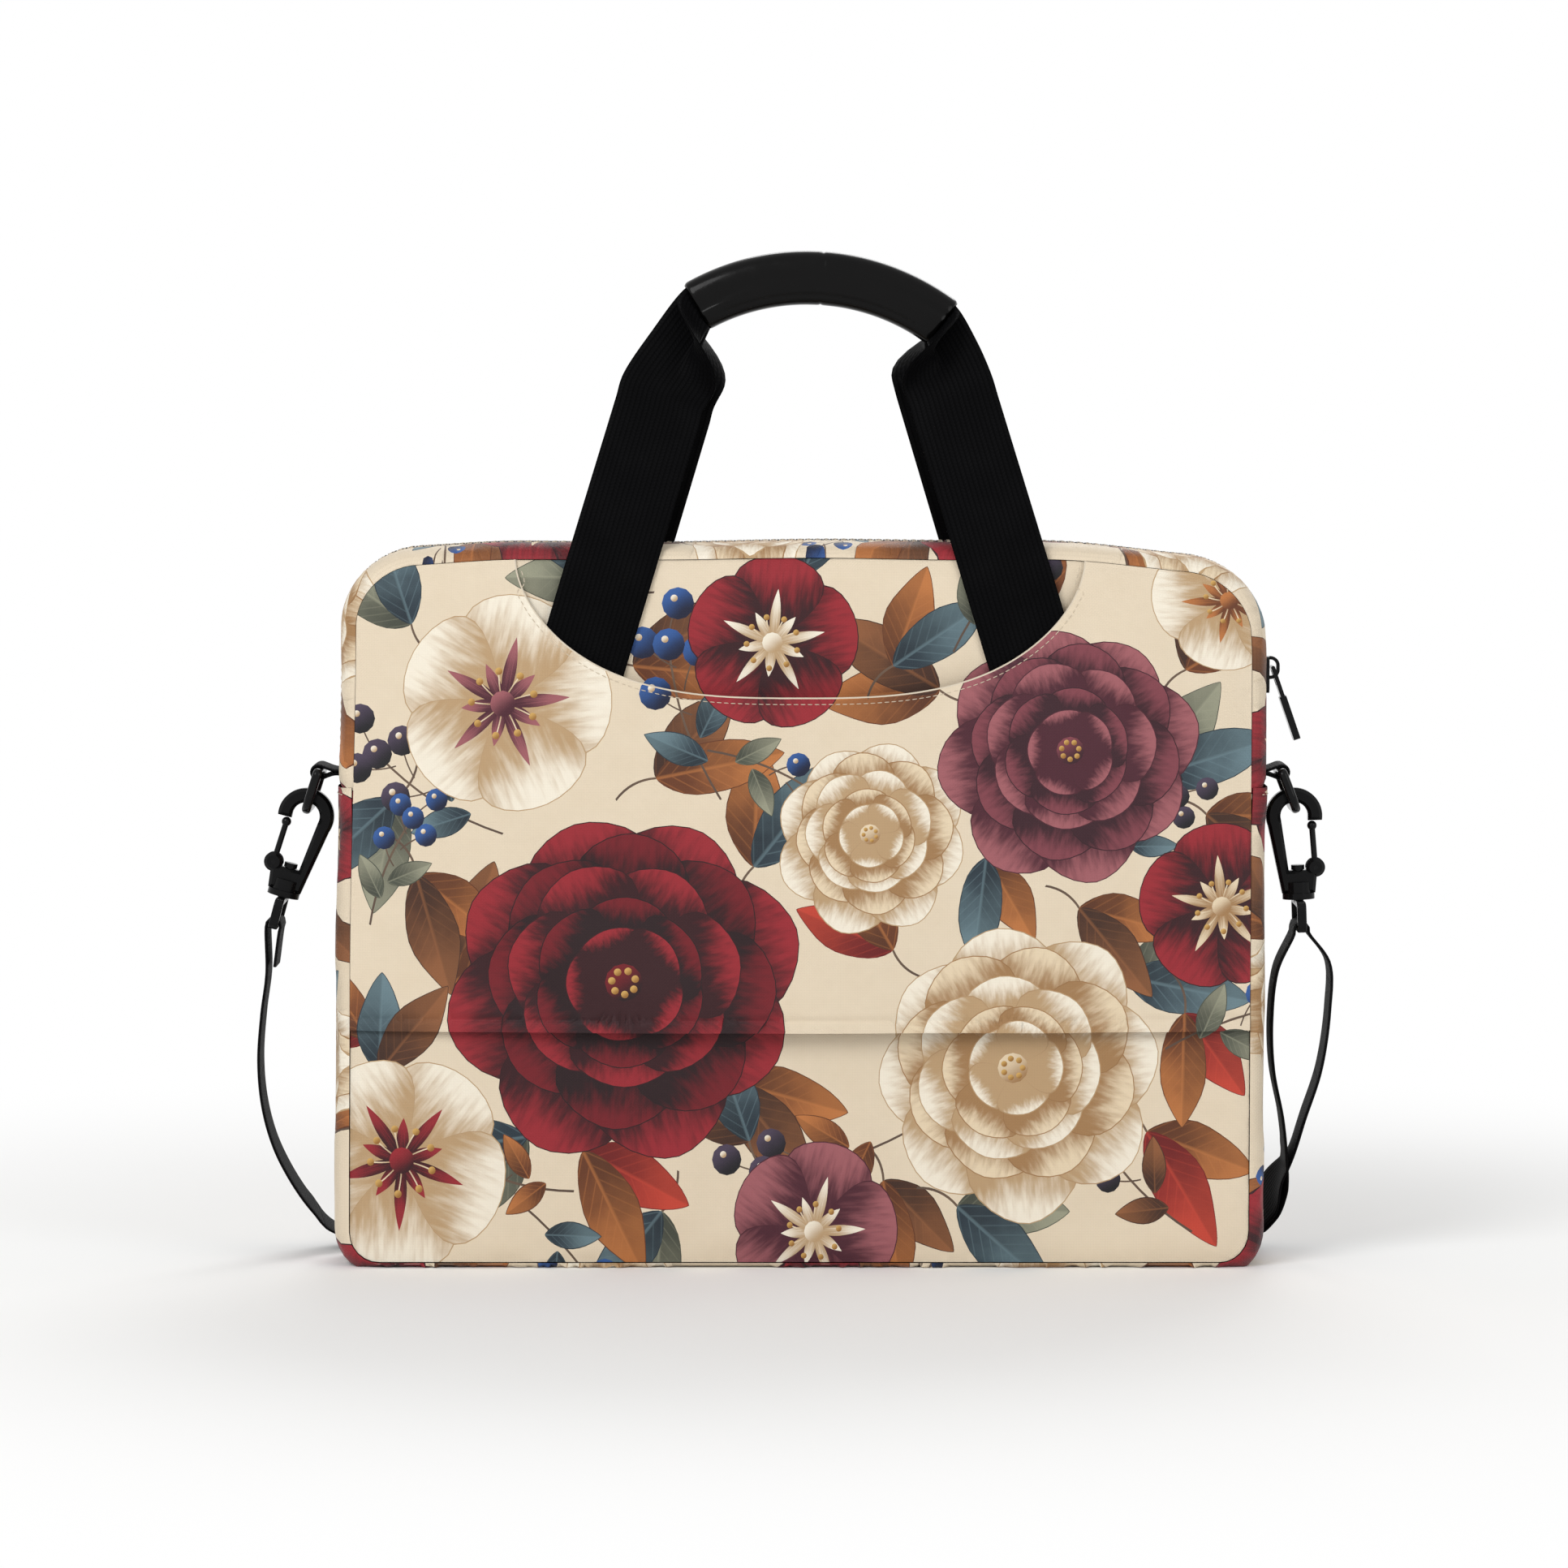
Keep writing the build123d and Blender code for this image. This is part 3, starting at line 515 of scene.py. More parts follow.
def shaded_spoon(base, turn, reach, spread, dyes, **shape):
    """A petal or leaf over a slightly larger one in its own darkest dye, which outlines it."""
    root = np.array(dyes[0]) * outline_dilution
    under = dict(shape, kind=PLAIN)
    return [
        spoon(base, turn, reach + outline_width, spread + outline_width, (root, dyes[0]), **under),
        spoon(base, turn, reach, spread, dyes, **shape),
    ]


def disc(centre, radius, dyes, light=2.2):
    """A round berry, bead or heart, darker away from the light."""
    angle = np.linspace(0, 2 * math.pi, 12, endpoint=False)
    edge = np.array(centre) + radius * rows(np.cos(angle), np.sin(angle))
    base = np.array(centre) - radius * np.array((math.cos(light), math.sin(light)))
    return Field(edge, dyes, PLAIN, base, light, 2 * radius, radius)


def stem(start, finish, bow, thick, dyes=stalk):
    """A thin bowed stem between two points."""
    start, finish = np.array(start), np.array(finish)
    share = np.linspace(0, 1, 9)[:, None]
    way = unit(finish - start)
    aside = np.array((-way[1], way[0]))
    line = start + (finish - start) * share + aside * bow * 4 * share * (1 - share)
    edge = np.vstack((line + aside * thick / 2, (line - aside * thick * 0.3)[::-1]))
    turn = math.atan2(way[1], way[0])
    return Field(edge, dyes, PLAIN, start, turn, np.linalg.norm(finish - start), thick)


def away_from(centre, turn, reach):
    """The point at a distance and a direction from another."""
    return (centre[0] + reach * math.cos(turn), centre[1] + reach * math.sin(turn))


def rosette(centre, turn, radius, outer, inner):
    """A full flower of ring within ring of petals, round a beaded heart."""
    rings = ((8, 1.0, 0.40), (8, 0.82, 0.35), (7, 0.64, 0.31), (6, 0.47, 0.26), (5, 0.31, 0.19))
    fields = []
    for level, (count, reach, spread) in enumerate(rings):
        dyes = outer if level % 2 == 0 else inner
        for petal in range(count):
            angle = turn + level * 0.41 + petal * 2 * math.pi / count
            length = radius * reach * (1 + 0.07 * math.sin(5.3 * petal + level + turn))
            fields += shaded_spoon(
                away_from(centre, angle, radius * 0.03), angle, length, radius * spread, dyes,
                wave=0.03, hidden=0.62,
            )
    fields.append(disc(centre, radius * 0.11, inner))
    for bead in range(7):
        place = away_from(centre, bead * 0.9 + turn, radius * 0.07)
        fields.append(disc(place, radius * 0.022, pollen))
    return fields


def blossom(centre, turn, radius, outer, inner):
    """An open flower of five broad petals with a starry heart and a ring of stamens."""
    fields = []
    for petal in range(5):
        angle = turn + petal * 2 * math.pi / 5
        fields += shaded_spoon(
            centre, angle, radius, radius * 0.52, outer, fullness=1.7, roundness=0.5, hidden=0.2
        )
    for petal in range(10):
        angle = turn + petal * math.pi / 5
        reach = radius * (0.62 if petal % 2 == 0 else 0.4)
        fields.append(spoon(centre, angle, reach, radius * 0.06, inner, fullness=0.9, roundness=0.9))
    for stamen in range(9):
        angle = turn + 0.2 + stamen * 2 * math.pi / 9
        tip = away_from(centre, angle, radius * 0.3)
        fields.append(stem(centre, tip, 0.0004, 0.0007, warm_ivory))
        fields.append(disc(tip, radius * 0.035, pollen))
    fields.append(disc(centre, radius * 0.12, inner))
    return fields


def leaf_pair(base, turn, reach, dyes, other):
    """Two leaves that part from one stalk."""
    fields = [stem(away_from(base, turn + math.pi, reach * 0.35), base, reach * 0.04, 0.0013)]
    for way, length, colours in ((0.34, 0.9, other), (-0.3, 1.0, dyes)):
        fields += shaded_spoon(
            base, turn + way, reach * length, reach * 0.2, colours,
            kind=LEAF, fullness=0.85, roundness=0.8, wave=0.05,
        )
    return fields


def berry(place, reach, dyes):
    """A round berry with a glint, sized by its sprig's reach."""
    glint = away_from(place, 2.2, reach * 0.04)
    return [disc(place, reach * 0.1, dyes), disc(glint, reach * 0.022, ivory)]


def berry_sprig(base, turn, reach, dyes, leaves):
    """A stalk with round berries on short stems and a few narrow leaves."""
    finish = away_from(base, turn, reach)
    fields = [stem(base, finish, reach * 0.06, 0.0012)]
    for step in range(6):
        share = 0.25 + step * 0.15
        knot = away_from(base, turn, reach * share)
        side = 1 if step % 2 == 0 else -1
        angle = turn + side * (0.95 - 0.4 * share)
        tip = away_from(knot, angle, reach * 0.26)
        if step < 2:
            fields += shaded_spoon(
                knot, angle, reach * 0.42, reach * 0.09, leaves, kind=LEAF, fullness=0.85, roundness=0.85
            )
        else:
            fields.append(stem(knot, tip, reach * 0.015, 0.0008))
            fields += berry(tip, reach, dyes)
    return fields + berry(finish, reach, dyes)


# The panel's print: leaf pairs, sprigs and flowers, each with its place, turn and size
panel_leaves = (
    (-0.150, 0.125, 0.9, 0.062, rust, umber), (-0.118, 0.058, 3.6, 0.058, slate, sage),
    (-0.020, 0.176, 1.2, 0.060, slate, rust), (-0.030, 0.082, -0.6, 0.058, umber, rust),
    (0.040, 0.140, 2.4, 0.050, rust, coral), (0.140, 0.128, 0.1, 0.056, slate, sage),
    (0.060, 0.252, 2.9, 0.058, umber, rust), (0.166, 0.262, 0.9, 0.052, rust, umber),
    (-0.072, 0.262, 0.2, 0.058, rust, umber), (-0.176, 0.205, 4.2, 0.056, slate, sage),
    (0.036, 0.040, 5.2, 0.046, rust, umber), (0.150, 0.060, 5.6, 0.055, coral, rust),
    (-0.170, 0.282, 2.2, 0.050, slate, sage), (-0.060, 0.028, 4.3, 0.050, slate, sage),
    (0.175, 0.198, 5.9, 0.050, umber, rust), (0.000, 0.300, 1.4, 0.045, slate, sage),
    (0.080, 0.180, 4.9, 0.046, slate, rust), (-0.186, 0.100, 2.5, 0.045, rust, coral),
    (-0.166, 0.172, 5.3, 0.054, umber, rust), (-0.062, 0.214, 0.5, 0.056, rust, umber),
    (0.150, 0.214, 0.6, 0.058, slate, sage), (0.120, 0.158, 5.7, 0.050, umber, rust),
    (-0.094, 0.052, 5.5, 0.056, rust, coral), (0.068, 0.030, 5.9, 0.054, slate, sage),
    (0.166, 0.112, 5.0, 0.050, rust, coral), (0.040, 0.262, 0.9, 0.050, slate, rust),
    (-0.080, 0.300, 2.8, 0.052, slate, sage), (0.104, 0.284, 1.9, 0.054, rust, umber),
    (-0.022, 0.056, 2.2, 0.050, slate, umber), (-0.182, 0.086, 1.2, 0.048, umber, slate),
)
panel_sprigs = (
    (-0.034, 0.205, 1.9, 0.070, inky, slate), (0.046, 0.060, 3.4, 0.064, soot, rust),
    (0.158, 0.096, 0.3, 0.062, inky, sage), (-0.128, 0.190, 2.6, 0.066, soot, slate),
    (0.066, 0.268, 0.9, 0.060, soot, sage), (-0.120, 0.030, 5.4, 0.058, inky, slate),
    (0.170, 0.020, 2.4, 0.055, soot, umber), (-0.186, 0.150, 1.2, 0.050, inky, sage),
    (-0.040, 0.226, 5.9, 0.052, inky, sage), (0.128, 0.170, 0.8, 0.050, soot, slate),
    (-0.098, 0.036, 2.9, 0.050, soot, rust), (0.150, 0.262, 4.2, 0.048, inky, rust),
)
panel_flowers = (
    (blossom, -0.012, 0.272, 0.2, 0.037, wine, ivory),
    (blossom, -0.172, 0.048, 0.9, 0.045, ivory, wine),
    (blossom, 0.182, 0.158, 0.4, 0.036, wine, warm_ivory),
    (blossom, 0.006, 0.020, 1.3, 0.036, plum, ivory),
    (rosette, 0.030, 0.190, 0.5, 0.040, ivory, warm_ivory),
    (blossom, -0.128, 0.246, 0.1, 0.047, ivory, plum),
    (rosette, 0.116, 0.226, 0.2, 0.054, plum, deep_plum),
    (rosette, 0.092, 0.088, 0.9, 0.060, ivory, warm_ivory),
    (rosette, -0.076, 0.126, 0.3, 0.074, wine, deep_wine),
    (blossom, 0.186, 0.296, 0.7, 0.034, ivory, rust),
)
panel_motifs = (
    *((leaf_pair, *row) for row in panel_leaves),
    *((berry_sprig, *row) for row in panel_sprigs),
    *panel_flowers,
)


def panel_print(turned):
    """The fields of a panel's print from the ground up, turned half round for the other side."""
    fields = []
    middle = bag_top / 2
    flip = -1 if turned else 1
    half_turn = math.pi if turned else 0
    for maker, x, z, turn, size, *dyes in panel_motifs:
        spot = (x * flip, middle + (z - middle) * flip)
        fields += maker(spot, turn + half_turn, size, *dyes)
    return fields


# The gusset's print, which repeats along it: how far along, how far across, turn and size
gusset_repeat = 0.19
gusset_repeat_turn = 0.7
gusset_motifs = (
    (leaf_pair, 0.050, 0.004, 0.4, 0.040, rust, umber),
    (leaf_pair, 0.105, -0.008, 2.6, 0.038, slate, sage),
    (leaf_pair, 0.150, 0.010, 4.9, 0.040, umber, rust),
    (berry_sprig, 0.070, -0.012, 0.3, 0.042, inky, slate),
    (berry_sprig, 0.165, 0.012, 3.0, 0.040, soot, rust),
    (blossom, 0.022, 0.003, 0.0, 0.027, wine, warm_ivory),
    (rosette, 0.120, 0.004, 0.0, 0.028, ivory, warm_ivory),
    (blossom, 0.178, -0.010, 0.0, 0.020, plum, ivory),
)


def gusset_print(start, finish):
    """The fields of a gusset's print along its unrolled strip."""
    fields = []
    for repeat in range(int((finish - start) / gusset_repeat) + 1):
        along = start + repeat * gusset_repeat
        for maker, ahead, across, turn, size, *dyes in gusset_motifs:
            fields += maker((along + ahead, across), turn + gusset_repeat_turn * repeat, size, *dyes)
    return fields


def cut_cloth(edge, fields, spacing, extra):
    """Cuts flat cloth along its print: points, triangles and the top field on each triangle."""
    low, high = edge.min(0), edge.max(0)
    across = np.arange(low[0] + spacing / 2, high[0], spacing)
    along = np.arange(low[1] + spacing / 2, high[1], spacing)
    grid = rows(*np.meshgrid(across, along)).reshape(-1, 2)
    grid[:, 0] += np.where(np.arange(len(grid)) // len(across) % 2 == 0, 0, spacing / 2)
    loops = [edge] + [field.edge for field in fields]
    ends = np.cumsum([len(loop) for loop in loops])
    faces = [list(range(end - len(loop), end)) for loop, end in zip(loops, ends)]
    points = np.vstack(loops + [grid, extra]) * 1000
    made = delaunay_2d_cdt([Vector(point) for point in points], [], faces, 0, 1e-3, True)
    flat = np.array([tuple(point) for point in made[0]]) / 1000
    kept = [(face, max(owners)) for face, owners in zip(made[2], made[5]) if 0 in owners]
    triangles = np.array([face for face, _ in kept])
    used = np.unique(triangles)
    renumber = np.zeros(len(flat), int)
    renumber[used] = np.arange(len(used))
    return flat[used], renumber[triangles], np.array([owner for _, owner in kept])


def surface_ways(place, flat):
    """The way out of a cloth's surface at each of its flat points."""
    step = 0.0004
    first = place(flat + np.array((step, 0))) - place(flat - np.array((step, 0)))
    second = place(flat + np.array((0, step))) - place(flat - np.array((0, step)))
    return unit(np.cross(first, second))


def new_piece(name, points, faces, material, body="bag"):
    """A mesh piece of the bag, smooth, with its material, riding on a body."""
    mesh = bpy.data.meshes.new(name)
    mesh.from_pydata(np.asarray(points).tolist(), [], [list(map(int, face)) for face in faces])
    mesh.polygons.foreach_set("use_smooth", np.ones(len(mesh.polygons), bool))
    mesh.materials.append(material)
    piece = add_object(name, mesh)
    if body:
        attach(piece, body)
    return piece


def set_cloth_map(mesh, flat_corners):
    """Keeps the flat cut's own measures on the mesh, for its weave."""
    layer = mesh.uv_layers.new(name="cloth")
    layer.data.foreach_set("uv", flat_corners.astype(np.float32).ravel())


def printed_piece(name, edge, fields, place, spacing=cloth_spacing, extra=np.empty((0, 2))):
    """A piece of printed cloth: cut flat along its print, then laid on its curved surface."""
    flat, triangles, owners = cut_cloth(edge, fields, spacing, extra)
    out = surface_ways(place, flat)
    face_side = place(flat)
    back_side = face_side - out * cloth_wall
    count = len(flat)
    ways = triangles[:, [[0, 1], [1, 2], [2, 0]]].reshape(-1, 2)
    _, where, uses = np.unique(np.sort(ways, axis=1), axis=0, return_index=True, return_counts=True)
    rims = ways[where[uses == 1]]
    rim_faces = rows(rims[:, 1], rims[:, 0], rims[:, 0] + count, rims[:, 1] + count)
    sheets = (triangles, triangles[:, ::-1] + count, rim_faces)
    faces = [face for sheet in sheets for face in sheet.tolist()]
    piece = new_piece(name, np.vstack((face_side, back_side)), faces, printed_canvas)
    mesh = piece.data

    roots = np.tile(cream_ground[0], (len(triangles), 3, 1))
    tips = np.tile(cream_ground[1], (len(triangles), 3, 1))
    shares = np.full((len(triangles), 3, 3), (0.5, 0.0, GROUND))
    for number, field in enumerate(fields, start=1):
        mine = np.flatnonzero(owners == number)
        along, across = field.places(flat[triangles[mine]])
        shares[mine] = rows(along, across, field.kind)
        roots[mine], tips[mine] = field.dyes
    rest = 3 * len(triangles) + 4 * len(rim_faces)
    roots = np.vstack((roots.reshape(-1, 4), np.tile(cloth_reverse[0], (rest, 1))))
    tips = np.vstack((tips.reshape(-1, 4), np.tile(cloth_reverse[1], (rest, 1))))
    shares = np.vstack((shares.reshape(-1, 3), np.tile((0.5, 0.0, GROUND), (rest, 1))))
    for label, kind, key, values in (
        ("root_dye", "FLOAT_COLOR", "color", roots),
        ("tip_dye", "FLOAT_COLOR", "color", tips),
        ("field", "FLOAT_VECTOR", "vector", shares),
    ):
        layer = mesh.attributes.new(label, kind, "CORNER")
        layer.data.foreach_set(key, values.astype(np.float32).ravel())
    corners = np.concatenate([sheet.ravel() for sheet in sheets])
    set_cloth_map(mesh, np.vstack((flat, flat))[corners])

    rim_way = unit(face_side[rim_faces[:, 0]] - face_side[rim_faces[:, 1]])
    rim_out = np.cross(rim_way, out[rim_faces[:, 0]])
    corner_ways = (out[triangles], -out[triangles[:, ::-1]], np.repeat(-rim_out, 4, 0))
    mesh.normals_split_custom_set(np.vstack([ways.reshape(-1, 3) for ways in corner_ways]).tolist())
    return piece


class SettledCloth:
    """A coarse net of a panel's cloth, sewn down along its edges and swelled by its padding."""

    spacing = 0.006
    frames = 20

    def __init__(self, low, high, sewn, swelled, spare, seed):
        self.low = np.array(low)
        counts = ((np.array(high) - self.low) / self.spacing).astype(int) + 1
        self.step = (np.array(high) - self.low) / (counts - 1)
        x, z = np.meshgrid(*(np.linspace(a, b, count) for a, b, count in zip(low, high, counts)))
        self.rise = np.zeros_like(x)
        start = 0.0003 * soft_waves(x, z, seed, 0.07, 9)
        self.settle(x, z, start, sewn(x, z), swelled, spare)

    def settle(self, x, z, start, sewn, swelled, spare):
        """Runs the cloth and keeps how far each knot of the net comes out."""
        numbers = np.arange(x.size).reshape(x.shape)
        corners = (numbers[:-1, :-1], numbers[:-1, 1:], numbers[1:, 1:], numbers[1:, :-1])
        mesh = bpy.data.meshes.new("net")
        points = rows(x, -np.where(sewn, 0, start), z).reshape(-1, 3)
        mesh.from_pydata(points.tolist(), [], rows(*corners).reshape(-1, 4).tolist())
        net = add_object("net", mesh)
        held = net.vertex_groups.new(name="sewn")
        held.add(np.flatnonzero(sewn).tolist(), 1.0, "REPLACE")
        cloth = net.modifiers.new("cloth", "CLOTH")
        settings = {
            "quality": 6, "mass": 0.15, "air_damping": 4.0, "vertex_group_mass": "sewn",
            "tension_stiffness": 20.0, "compression_stiffness": 20.0, "shear_stiffness": 8.0,
            "tension_damping": 15.0, "compression_damping": 15.0, "shear_damping": 15.0,
            "bending_stiffness": 0.5, "shrink_min": -spare, "use_pressure": True,
            "uniform_pressure_force": swelled,
        }
        for label, value in settings.items():
            setattr(cloth.settings, label, value)
        cloth.settings.effector_weights.gravity = 0.0
        cloth.collision_settings.use_collision = False
        cloth.point_cache.frame_start = 1
        cloth.point_cache.frame_end = self.frames
        scene = bpy.context.scene
        for step in range(1, self.frames + 1):
            scene.frame_set(step)
        done = net.evaluated_get(bpy.context.evaluated_depsgraph_get())
        places = np.empty(3 * x.size, np.float32)
        done.data.vertices.foreach_get("co", places)
        self.rise = -places.reshape(*x.shape, 3)[..., 1].astype(float)
        scene.frame_set(1)
        bpy.data.objects.remove(net)
        bpy.data.meshes.remove(mesh)

    def at(self, x, z):
        """How far the cloth comes out at any place on it, smooth between the knots."""
        total = np.zeros_like(x)
        knots = []
        for value, start, step, count in zip((x, z), self.low, self.step, self.rise.shape[::-1]):
            walk = np.clip((value - start) / step, 0, count - 1)
            first = np.floor(walk).astype(int)
            part = walk - first
            weights = (
                (1 - part) ** 3, 3 * part**3 - 6 * part**2 + 4,
                -3 * part**3 + 3 * part**2 + 3 * part + 1, part**3,
            )
            spots = [np.clip(first + shift, 0, count - 1) for shift in range(-1, 3)]
            knots.append([(spot, weight / 6) for spot, weight in zip(spots, weights)])
        for column, across in knots[0]:
            for row, along in knots[1]:
                total += self.rise[row, column] * across * along
        return total


# Panels: padded cloth that crowns between its seams
panel_top = bag_top - gusset_swell
panel_crown = 0.0014
crown_reach = 0.035
panel_swell = 0.0034
least_swell = -0.0006
swell_share = 0.36
seam_sink = 0.0016
seam_reach = 0.0045
pucker_depth = 0.00035
pucker_reach = 0.009
pucker_length = 0.016
sewn_margin = 0.004
spare_cloth = 0.004
padding_pressure = 0.5


def sewn_panel(x, z):
    """Where a panel's cloth is sewn down: along its whole edge."""
    return depth_inside(x, z, gusset_swell) < sewn_margin


panel_corners = ((-half_width + gusset_swell, gusset_swell), (half_width - gusset_swell, panel_top))
back_cloth = SettledCloth(*panel_corners, sewn_panel, padding_pressure, spare_cloth, 3)
front_cloth = SettledCloth(*panel_corners, sewn_panel, padding_pressure, spare_cloth, 8)


def panel_rise(x, z, cloth):
    """How far a padded panel stands out of the bag's flat side."""
    inside = depth_inside(x, z, gusset_swell)
    crown = panel_crown * (1 - np.exp(-np.maximum(inside, 0) / crown_reach))
    sink = seam_sink * np.exp(-((inside / seam_reach) ** 2))
    swell = np.clip(swell_share * cloth.at(x, z), least_swell, panel_swell) * ease(inside, 0.002, 0.012)
    edge_walk = np.arctan2(z - bag_top / 2, x) * 0.19
    puckers = pucker_depth * np.exp(-np.maximum(inside, 0) / pucker_reach)
    puckers = puckers * soft_waves(edge_walk, inside, 13, pucker_length)
    return crown - sink + swell + puckers * ease(inside, 0.001, 0.004)


# How the whole bag settles: its top corners sag, its sides draw in above and its base lies flat
right_sag = 0.0060
left_sag = 0.0032
top_unevenness = 0.0006
left_draw = 0.0034
left_spread = 0.0010
right_draw = 0.0014
base_sink = 0.0050


def settled(points):
    """Points of the bag as drawn, moved to where they lie on the settled bag."""
    x, y, z = points.T
    right = ease(x, 0.10, 0.19)
    left = ease(-x, 0.12, 0.19)
    sag = (right_sag * right + left_sag * left) * ease(z, 0.235, 0.305)
    uneven = top_unevenness * soft_waves(x, y, 17, 0.14) * ease(z, 0.27, 0.31)
    drawn_left = left_draw * ease(z, 0.12, 0.29) - left_spread * (1 - ease(z, 0, 0.15))
    drawn_right = right_draw * ease(z, 0.268, 0.300)
    sunk = base_sink * (1 - ease(z, 0, 0.06))
    height = np.maximum(z - sunk - sag + uneven, floor_room)
    return rows(x + left * drawn_left - right * drawn_right, y, height)


def panel_place(side, cloth):
    """A place function for the back panel, on side -1, or for the front one, on side 1."""

    def place(flat):
        x, z = -side * flat[:, 0], flat[:, 1]
        return settled(rows(x, side * (half_depth + panel_rise(x, z, cloth)), z))

    return place


def make_panels():
    """The two padded printed panels."""
    edge = panel_outline.points(edge_spacing)
    for name, side, cloth in (("back", -1, back_cloth), ("front", 1, front_cloth)):
        fields = panel_print(turned=side > 0)
        panel = printed_piece(f"{name}_panel_cloth", edge, fields, panel_place(side, cloth))
        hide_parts(f"{name}_panel", f"{name}_padding")


make_panels()

# Trolley sleeve: a second printed layer, sewn at its sides and top, open below and at its scoop
sleeve_inset = 0.0008
sleeve_bow_half = half_width - gusset_swell - 0.008
sleeve_slack = sleeve_depth - half_depth - cloth_wall - panel_crown - panel_swell
sleeve_hang = 0.030
sleeve_drift = 0.0016
least_drift = -0.0005
hem_height = 0.0052
hem_swell = 0.0006
hem_groove = 0.0004
hem_groove_reach = 0.0007
hem_row_shifts = (-0.0013, -0.0006, 0, 0.0008)
binding_radius = 0.00062
scoop_stitch_inset = 0.0024
scoop_stitch = (0.0030, 0.0021, 0.00018)


def sewn_sleeve(x, z):
    """Where the sleeve is sewn down: at both sides, and on top beside the scoop."""
    beside = (z > panel_top - sewn_margin) & (np.abs(x) > scoop_half)
    return beside | sewn_panel(x, z)


sleeve_corners = ((panel_corners[0][0], sleeve_low), panel_corners[1])
sleeve_net = SettledCloth(*sleeve_corners, sewn_sleeve, 0.0, spare_cloth, 21)


def sleeve_place(flat):
    """Where the sleeve's cloth lies: on the panel at its seams, bowed out between them."""
    x, z = flat[:, 0], flat[:, 1]
    across = np.clip(1 - (x / sleeve_bow_half) ** 2, 0, 1)
    hung = 1 - np.exp(-np.maximum(panel_top - z, 0) / sleeve_hang)
    drift = np.clip(0.5 * sleeve_net.at(x, z), least_drift, sleeve_drift) * ease(across, 0.03, 0.35)
    slack = np.maximum(sleeve_slack * across * hung + drift, 0)
    above_hem = z - sleeve_low
    slack += hem_swell * (1 - ease(above_hem, hem_height - 0.0012, hem_height))
    slack -= hem_groove * np.exp(-(((above_hem - hem_height) / hem_groove_reach) ** 2))
    lying = panel_rise(x, z, back_cloth) + cloth_wall + lying_room
    return settled(rows(x, -half_depth - lying - slack, z))


def scoop_points():
    """The scooped top edge, from right to left."""
    turn = np.linspace(0, math.pi, 90)
    reach = np.abs(np.cos(turn)) ** (2 / 3) * np.sign(np.cos(turn))
    fall = np.sin(turn) ** 1.2
    return rows(scoop_half * reach, panel_top - sleeve_inset - scoop_fall * fall)


def sleeve_edge():
    """The sleeve's cut: straight below, round its top corners, scooped in the middle."""
    line = Outline(gusset_swell + sleeve_inset)
    walk_low = line.walk_to_height(sleeve_low)
    walk_high = line.length / 2 - scoop_half
    right, _ = line.at(np.arange(walk_low, walk_high, edge_spacing))
    left = right[::-1] * np.array((-1, 1))
    across = np.arange(left[-1, 0] + edge_spacing, right[0, 0] - edge_spacing / 2, edge_spacing)
    return np.vstack((rows(across, sleeve_low), right, scoop_points(), left))


def round_cord(name, line, radius, material, sides=8):
    """A thin round cord along a line of points that runs across the bag, closed at both ends."""
    way = unit(np.gradient(line, axis=0))
    first = unit(np.cross(way, along_y))
    second = np.cross(first, way)
    angle = np.arange(sides) * 2 * math.pi / sides
    ring = first[:, None] * np.cos(angle)[:, None] + second[:, None] * np.sin(angle)[:, None]
    points = (line[:, None] + ring * radius).reshape(-1, 3)
    start = list(range(sides))
    end = [(len(line) - 1) * sides + side for side in start]
    return new_piece(name, points, [start[::-1], *tube_faces(len(line), sides), end], material)


def along_line(line, spacing):
    """Points at even steps along a line."""
    walk = walk_along(line)
    return read_at(np.arange(0, walk[-1], spacing), walk, line)


# A stitch or tooth from end to end: shares of its length, and how thick it is there
stitch_shares = ((-0.5, 0.4), (-0.36, 0.95), (0.0, 1.1), (0.36, 0.95), (0.5, 0.4))
stitch_sides = 6


def stitch_shapes(middles, ways, outs, length, radius):
    """Small rounded thread stitches, each laid along its way on the cloth."""
    aside = np.cross(ways, outs)
    angle = np.arange(stitch_sides) * 2 * math.pi / stitch_sides
    points = []
    for number in range(len(middles)):
        ring = np.outer(np.cos(angle), aside[number]) + np.outer(np.sin(angle), outs[number])
        for share, swell in stitch_shares:
            centre = middles[number] + ways[number] * share * length
            centre = centre + outs[number] * radius * (0.55 - 1.6 * abs(share))
            points.append(centre + ring * radius * swell)
    size = stitch_sides * len(stitch_shares)
    tube = [[b, a, d, c] for a, b, c, d in tube_faces(len(stitch_shares), stitch_sides)]
    shape = [list(range(stitch_sides)), *tube, list(range(size - stitch_sides, size))[::-1]]
    bases = range(0, size * len(middles), size)
    return np.vstack(points), [[base + corner for corner in face] for base in bases for face in shape]


def sew(name, flat_line, place, material, slot, pitch=0.0038, length=0.0027, radius=0.00022):
    """A row of stitches along a line drawn on a cloth's flat cut."""
    flat = along_line(flat_line, pitch)
    middles = place(flat)
    ways = unit(np.gradient(middles, axis=0))
    points, faces = stitch_shapes(middles, ways, surface_ways(place, flat), length, radius)
    return new_piece(name, points, faces, material)


def drawn_in(line, inset, centre):
    """A line of points moved towards the side on which a centre lies."""
    way = unit(np.gradient(line, axis=0))
    aside = rows(-way[:, 1], way[:, 0])
    toward = np.sign(np.sum((np.array(centre) - line) * aside, axis=1, keepdims=True))
    return line + aside * toward * inset


